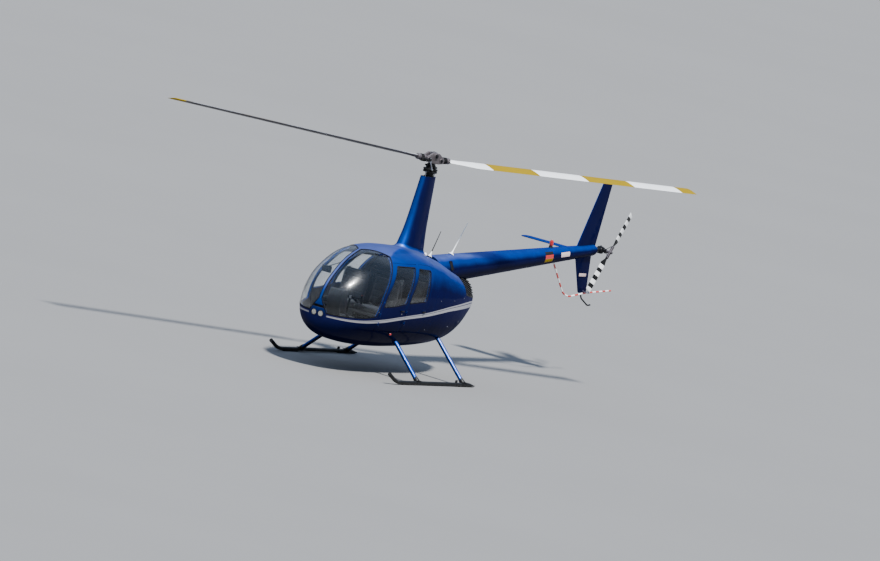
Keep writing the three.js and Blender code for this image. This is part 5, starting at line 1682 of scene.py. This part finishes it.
def pad_piece(name, base, place, replaces, cord_path):
    """One cushion from the simulated mesh, with a piped seam round its edge."""
    mesh = base.copy()
    mesh.name = name
    mesh.materials.clear()
    mesh.materials.append(CLOTH)
    mesh.transform(Matrix.Translation((MAST_X, 0, 0)) @ place)
    mesh.polygons.foreach_set("use_smooth", [True] * len(mesh.polygons))
    pad = place_object(name, mesh, "fuselage", [replaces])
    smooth = pad.modifiers.new("smooth", "SUBSURF")
    smooth.levels = smooth.render_levels = 1
    form = Form(PIPING).tube([place @ Vector(p) for p in cord_path], 0.0035, 8)
    form.piece(f"{name}_piping", "fuselage", "seat_cloth")


def edge_path(mesh, z):
    """The outline of the pad at one height, as points round it."""
    points = np.array([v.co for v in mesh.vertices])
    near = points[np.abs(points[:, 2] - z) < 0.008]
    turns = np.arctan2(near[:, 1], near[:, 0])
    path = []
    for k in range(97):
        t = -pi + 2 * pi * (k % 96) / 96
        gap = np.abs((turns - t + pi) % (2 * pi) - pi)
        chosen = near[gap < 0.08]
        reach = np.linalg.norm(chosen[:, :2], axis=1).max() if len(chosen) else 0.2
        path.append((reach * cos(t), reach * sin(t), z))
    return path


def make_cushions():
    width = SEAT_WIDTH - 0.014
    seat = sew(inflate(cushion_form((SEAT_DEPTH - 0.052, width, 0.074)), 0.012), (-0.11, 0.02, 0.15))
    rest = sew(inflate(cushion_form((0.418, width, 0.064)), 0.010), (-0.10, 0.0, 0.10))
    seat_edge, rest_edge = edge_path(seat, 0.018), edge_path(rest, 0.014)
    for name, back, top in SEAT_ROWS:
        for side, sign in SIDES:
            middle = back + 0.140 + (SEAT_DEPTH - 0.040) / 2
            place = Matrix.Translation((middle, sign * SEAT_Y, 0.9538))
            pad_piece(f"seat_cushion_{name}_{side}", seat, place, f"cushion_{name}_{side}", seat_edge)
            low, high = Vector((back + 0.1307, 0, 1.008)), Vector((back + 0.0717, 0, top - 0.010))
            up = (high - low).normalized()
            out = Vector((up.z, 0, -up.x))
            turn = facing(up, Y if up.cross(Y).dot(out) > 0 else -Y, out)
            place = Matrix.Translation((low + high) / 2 + Y * sign * SEAT_Y) @ turn.to_4x4()
            pad_piece(f"seat_back_{name}_{side}", rest, place, f"backrest_{name}_{side}", rest_edge)


def ribbon(form, path, across, width=0.045, thick=0.0018):
    """Flat webbing along a path: across is the direction of its width."""
    rings = []
    for i, point in enumerate(path):
        along = heading(path, i)
        side = (across - along * along.dot(across)).normalized()
        up = along.cross(side)
        rings.append([point + side * a * width / 2 + up * b * thick / 2
                      for a, b in ((-1, -1), (1, -1), (1, 1), (-1, 1))])
    return form.rings(rings)


def make_belts():
    """Two lap belts and a shoulder belt on each seat, with their buckle."""
    form = Form()
    cushion_top = 1.004
    low, rise = cushion_top + 0.004, cushion_top + 0.016
    for _, back, top in SEAT_ROWS:
        for _, sign in SIDES:
            y, outer = sign * SEAT_Y, sign * (SEAT_Y + 0.245)
            form.use(WEBBING)
            ribbon(form, bent([(back + 0.130, outer, 0.92), (back + 0.175, outer - sign * 0.02, rise),
                               (back + 0.27, y + sign * 0.05, low)], 0.03), X)
            ribbon(form, bent([(back + 0.130, y - sign * 0.238, 0.95), (back + 0.175, y - sign * 0.20, rise),
                               (back + 0.25, y - sign * 0.06, low)], 0.03), X)
            ribbon(form, bent([(back - 0.012, outer - sign * 0.06, top + 0.012),
                               (back + 0.055, outer - sign * 0.065, top + 0.006),
                               (back + 0.128, y + sign * 0.10, top - 0.14),
                               (back + 0.205, y - sign * 0.06, 1.08),
                               (back + 0.235, y - sign * 0.10, cushion_top + 0.012)], 0.04), Y)
            form.use(DARK_METAL).box((0.052, 0.060, 0.012), (back + 0.262, y, cushion_top + 0.008),
                                     bevel=0.003)
            form.use(BLACK).box((0.030, 0.026, 0.004), (back + 0.262, y, rise), bevel=0.001)
    form.piece("seat_belts", "fuselage", "seat_cloth")


def dial(form, centre, side, up, out, hand):
    """A round instrument with twelve marks and a hand at an angle."""
    def mark(size, t, reach, lift):
        arm = side * cos(t) + up * sin(t)
        form.box(size, centre + arm * reach + out * lift, facing(arm, out.cross(arm), out), 0.0002)

    form.use(BLACK).lathe([(0.028, 0), (0.0345, 0), (0.0345, 0.004), (0.0315, 0.0055), (0.030, 0.003)],
                          centre, out, 40)
    form.use(DIAL).lathe([(0, 0.0005), (0.0305, 0.0005), (0.0305, 0.0015), (0, 0.0015)], centre, out)
    form.use(WHITE)
    for k, t in enumerate(circle(12)):
        mark((0.0038 if k % 3 else 0.006, 0.0012, 0.0006), t, 0.0255, 0.0018)
    mark((0.022, 0.0016, 0.0006), hand, 0.008, 0.0024)
    form.use(BLACK).lathe([(0, 0.001), (0.003, 0.001), (0.003, 0.0032), (0, 0.0034)], centre, out, 14)


def make_console():
    form = Form(PLASTIC)
    form.plate([(1.620, 0.6784), (1.620, 0.800, 0.02), (1.760, 0.850, 0.03), (1.860, 1.180, 0.02),
                (2.000, 1.200, 0.04), (2.030, 1.100, 0.03), (1.960, 0.6784)], -0.110, 0.110, 0.010)
    low, high = Vector((1.772, 0, 0.890)), Vector((1.850, 0, 1.148))
    middle, up = (low + high) / 2, (high - low).normalized()
    out = Vector((-up.z, 0, up.x))
    side = up.cross(out)
    turn = facing(side, up, out)
    form.use(PANEL_GREY).box((0.196, 0.278, 0.006), middle + out * 0.003, turn, 0.002)
    for rise in (0.108, 0.036, -0.036):
        for across in (-0.048, 0.048):
            dial(form, middle + up * rise + side * across + out * 0.006, side, up, out,
                 0.7 + across * 25 + rise * 17)
    for k in range(6):
        centre = middle + up * -0.094 + side * (k - 2.5) * 0.028 + out * 0.006
        form.use(STEEL).lathe([(0.0045, 0), (0.0045, 0.003), (0.0022, 0.004), (0.0026, 0.014), (0, 0.015)],
                              centre, out, 12)
    form.use(BLACK).box((0.150, 0.034, 0.004), middle + up * -0.124 + out * 0.007, turn, 0.001)
    form.use(PLASTIC).plate([(1.640, 0.812), (1.700, 0.834), (1.690, 0.852), (1.635, 0.832)], -0.07, 0.07,
                            0.003)
    form.piece("instrument_console", "fuselage", "dark_plastic", ["console"])


def make_controls():
    form = Form(BLACK)
    form.tube(bent([(1.565, 0, 0.676), (1.560, 0, 0.90), (1.540, 0, 1.085)], 0.05), 0.014, 24)
    form.use(RUBBER).lathe([(0.050, 0.6785), (0.046, 0.690), (0.040, 0.700), (0.036, 0.716), (0.030, 0.724),
                            (0.022, 0.740), (0.0145, 0.752)], (1.565, 0, 0), Z, 28)
    form.use(BLACK).tube([(1.540, -0.175, 1.080), (1.540, 0.175, 1.080)], 0.0125, 20)
    form.use(ALUMINIUM).lathe(mirrored([(0.0145, 0.022), (0.019, 0.022)]), (1.541, 0, 1.078), (0, 0.02, 1),
                              24)
    for sign in (1, -1):
        grip = pleated((0.013, -0.060), 0.0148, 0.0165, -0.056, 0.0095, 13, [(0.013, 0.062), (0, 0.064)])
        form.use(RUBBER).lathe(grip, (1.540, sign * 0.188, 1.072), (0.10, sign * 0.25, -1), 24)
        form.use(RED).lathe([(0.006, 0), (0.006, 0.005), (0, 0.006)], (1.532, sign * 0.174, 1.134),
                            (-0.4, 0, 1), 14)
    form.piece("cyclic_control", "fuselage", "dark_plastic", ["cyclic_stick"])

    form = Form()
    for y, foot, bend in ((0.0, 0.915, 0.955), (0.548, 0.80, 0.90)):
        form.use(BLACK).tube(bent([(1.00, y, foot), (1.22, y, bend), (1.43, y, 1.055)], 0.06), 0.011, 18)
        form.use(RUBBER).lathe([(0.011, -0.075), (0.016, -0.070), (0.0165, 0.02), (0.020, 0.03),
                                (0.020, 0.05), (0.012, 0.058), (0, 0.06)], (1.415, y, 1.047),
                               (0.21, 0, 0.10), 20)
    tipped = Matrix.Rotation(0.25, 3, "Y")
    for middle in (SEAT_Y, -SEAT_Y):
        for sign in (1, -1):
            y = middle + sign * 0.075
            form.use(BLACK).tube(bent([(1.98, y, 0.679), (2.00, y, 0.74), (2.01, y, 0.815)], 0.03), 0.009, 14)
            form.use(ALUMINIUM).box((0.012, 0.085, 0.050), (2.006, y, 0.825), tipped, 0.004)
            form.use(RUBBER)
            for k in (-0.014, 0, 0.014):
                form.box((0.004, 0.076, 0.006), (1.999 + k * 0.25, y, 0.825 + k), tipped, 0.001)
        form.use(BLACK).tube([(1.985, middle - 0.11, 0.695), (1.985, middle + 0.11, 0.695)], 0.010, 14)
    form.use(BLACK).tube(bent([(1.995, 0.0, 1.600), (1.970, -0.12, 1.540), (1.965, -0.25, 1.470)], 0.04),
                         0.006, 12)
    turn = Matrix.Rotation(0.15, 3, "Z")
    form.box((0.030, 0.150, 0.100), (1.960, -0.27, 1.428), turn, 0.008)
    form.use(GLASS_DARK).box((0.004, 0.130, 0.082), (1.944, -0.272, 1.428), turn, 0.002)
    form.piece("cabin_controls", "fuselage", "dark_plastic")


for make in (make_camera, make_stage, make_fuselage, make_seals, make_fairing, make_swashplates, make_hub,
             make_main_blades, make_tail_rotor, make_tail_cone, make_fins, make_tail_parts, make_skids,
             make_nose_details, make_hardware, make_fasteners, make_grille, make_seat_frames, make_cushions,
             make_belts, make_console, make_controls):
    make()
for node, material in (("cabin_floor", CARPET), ("firewall", LINING), ("engine", ALUMINIUM),
                       ("mast_tube", STEEL), ("rotor_shaft", STEEL)):
    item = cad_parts[node]
    item.data.materials.clear()
    item.data.materials.append(material)
for item in cutters:
    bpy.data.objects.remove(item, do_unlink=True)
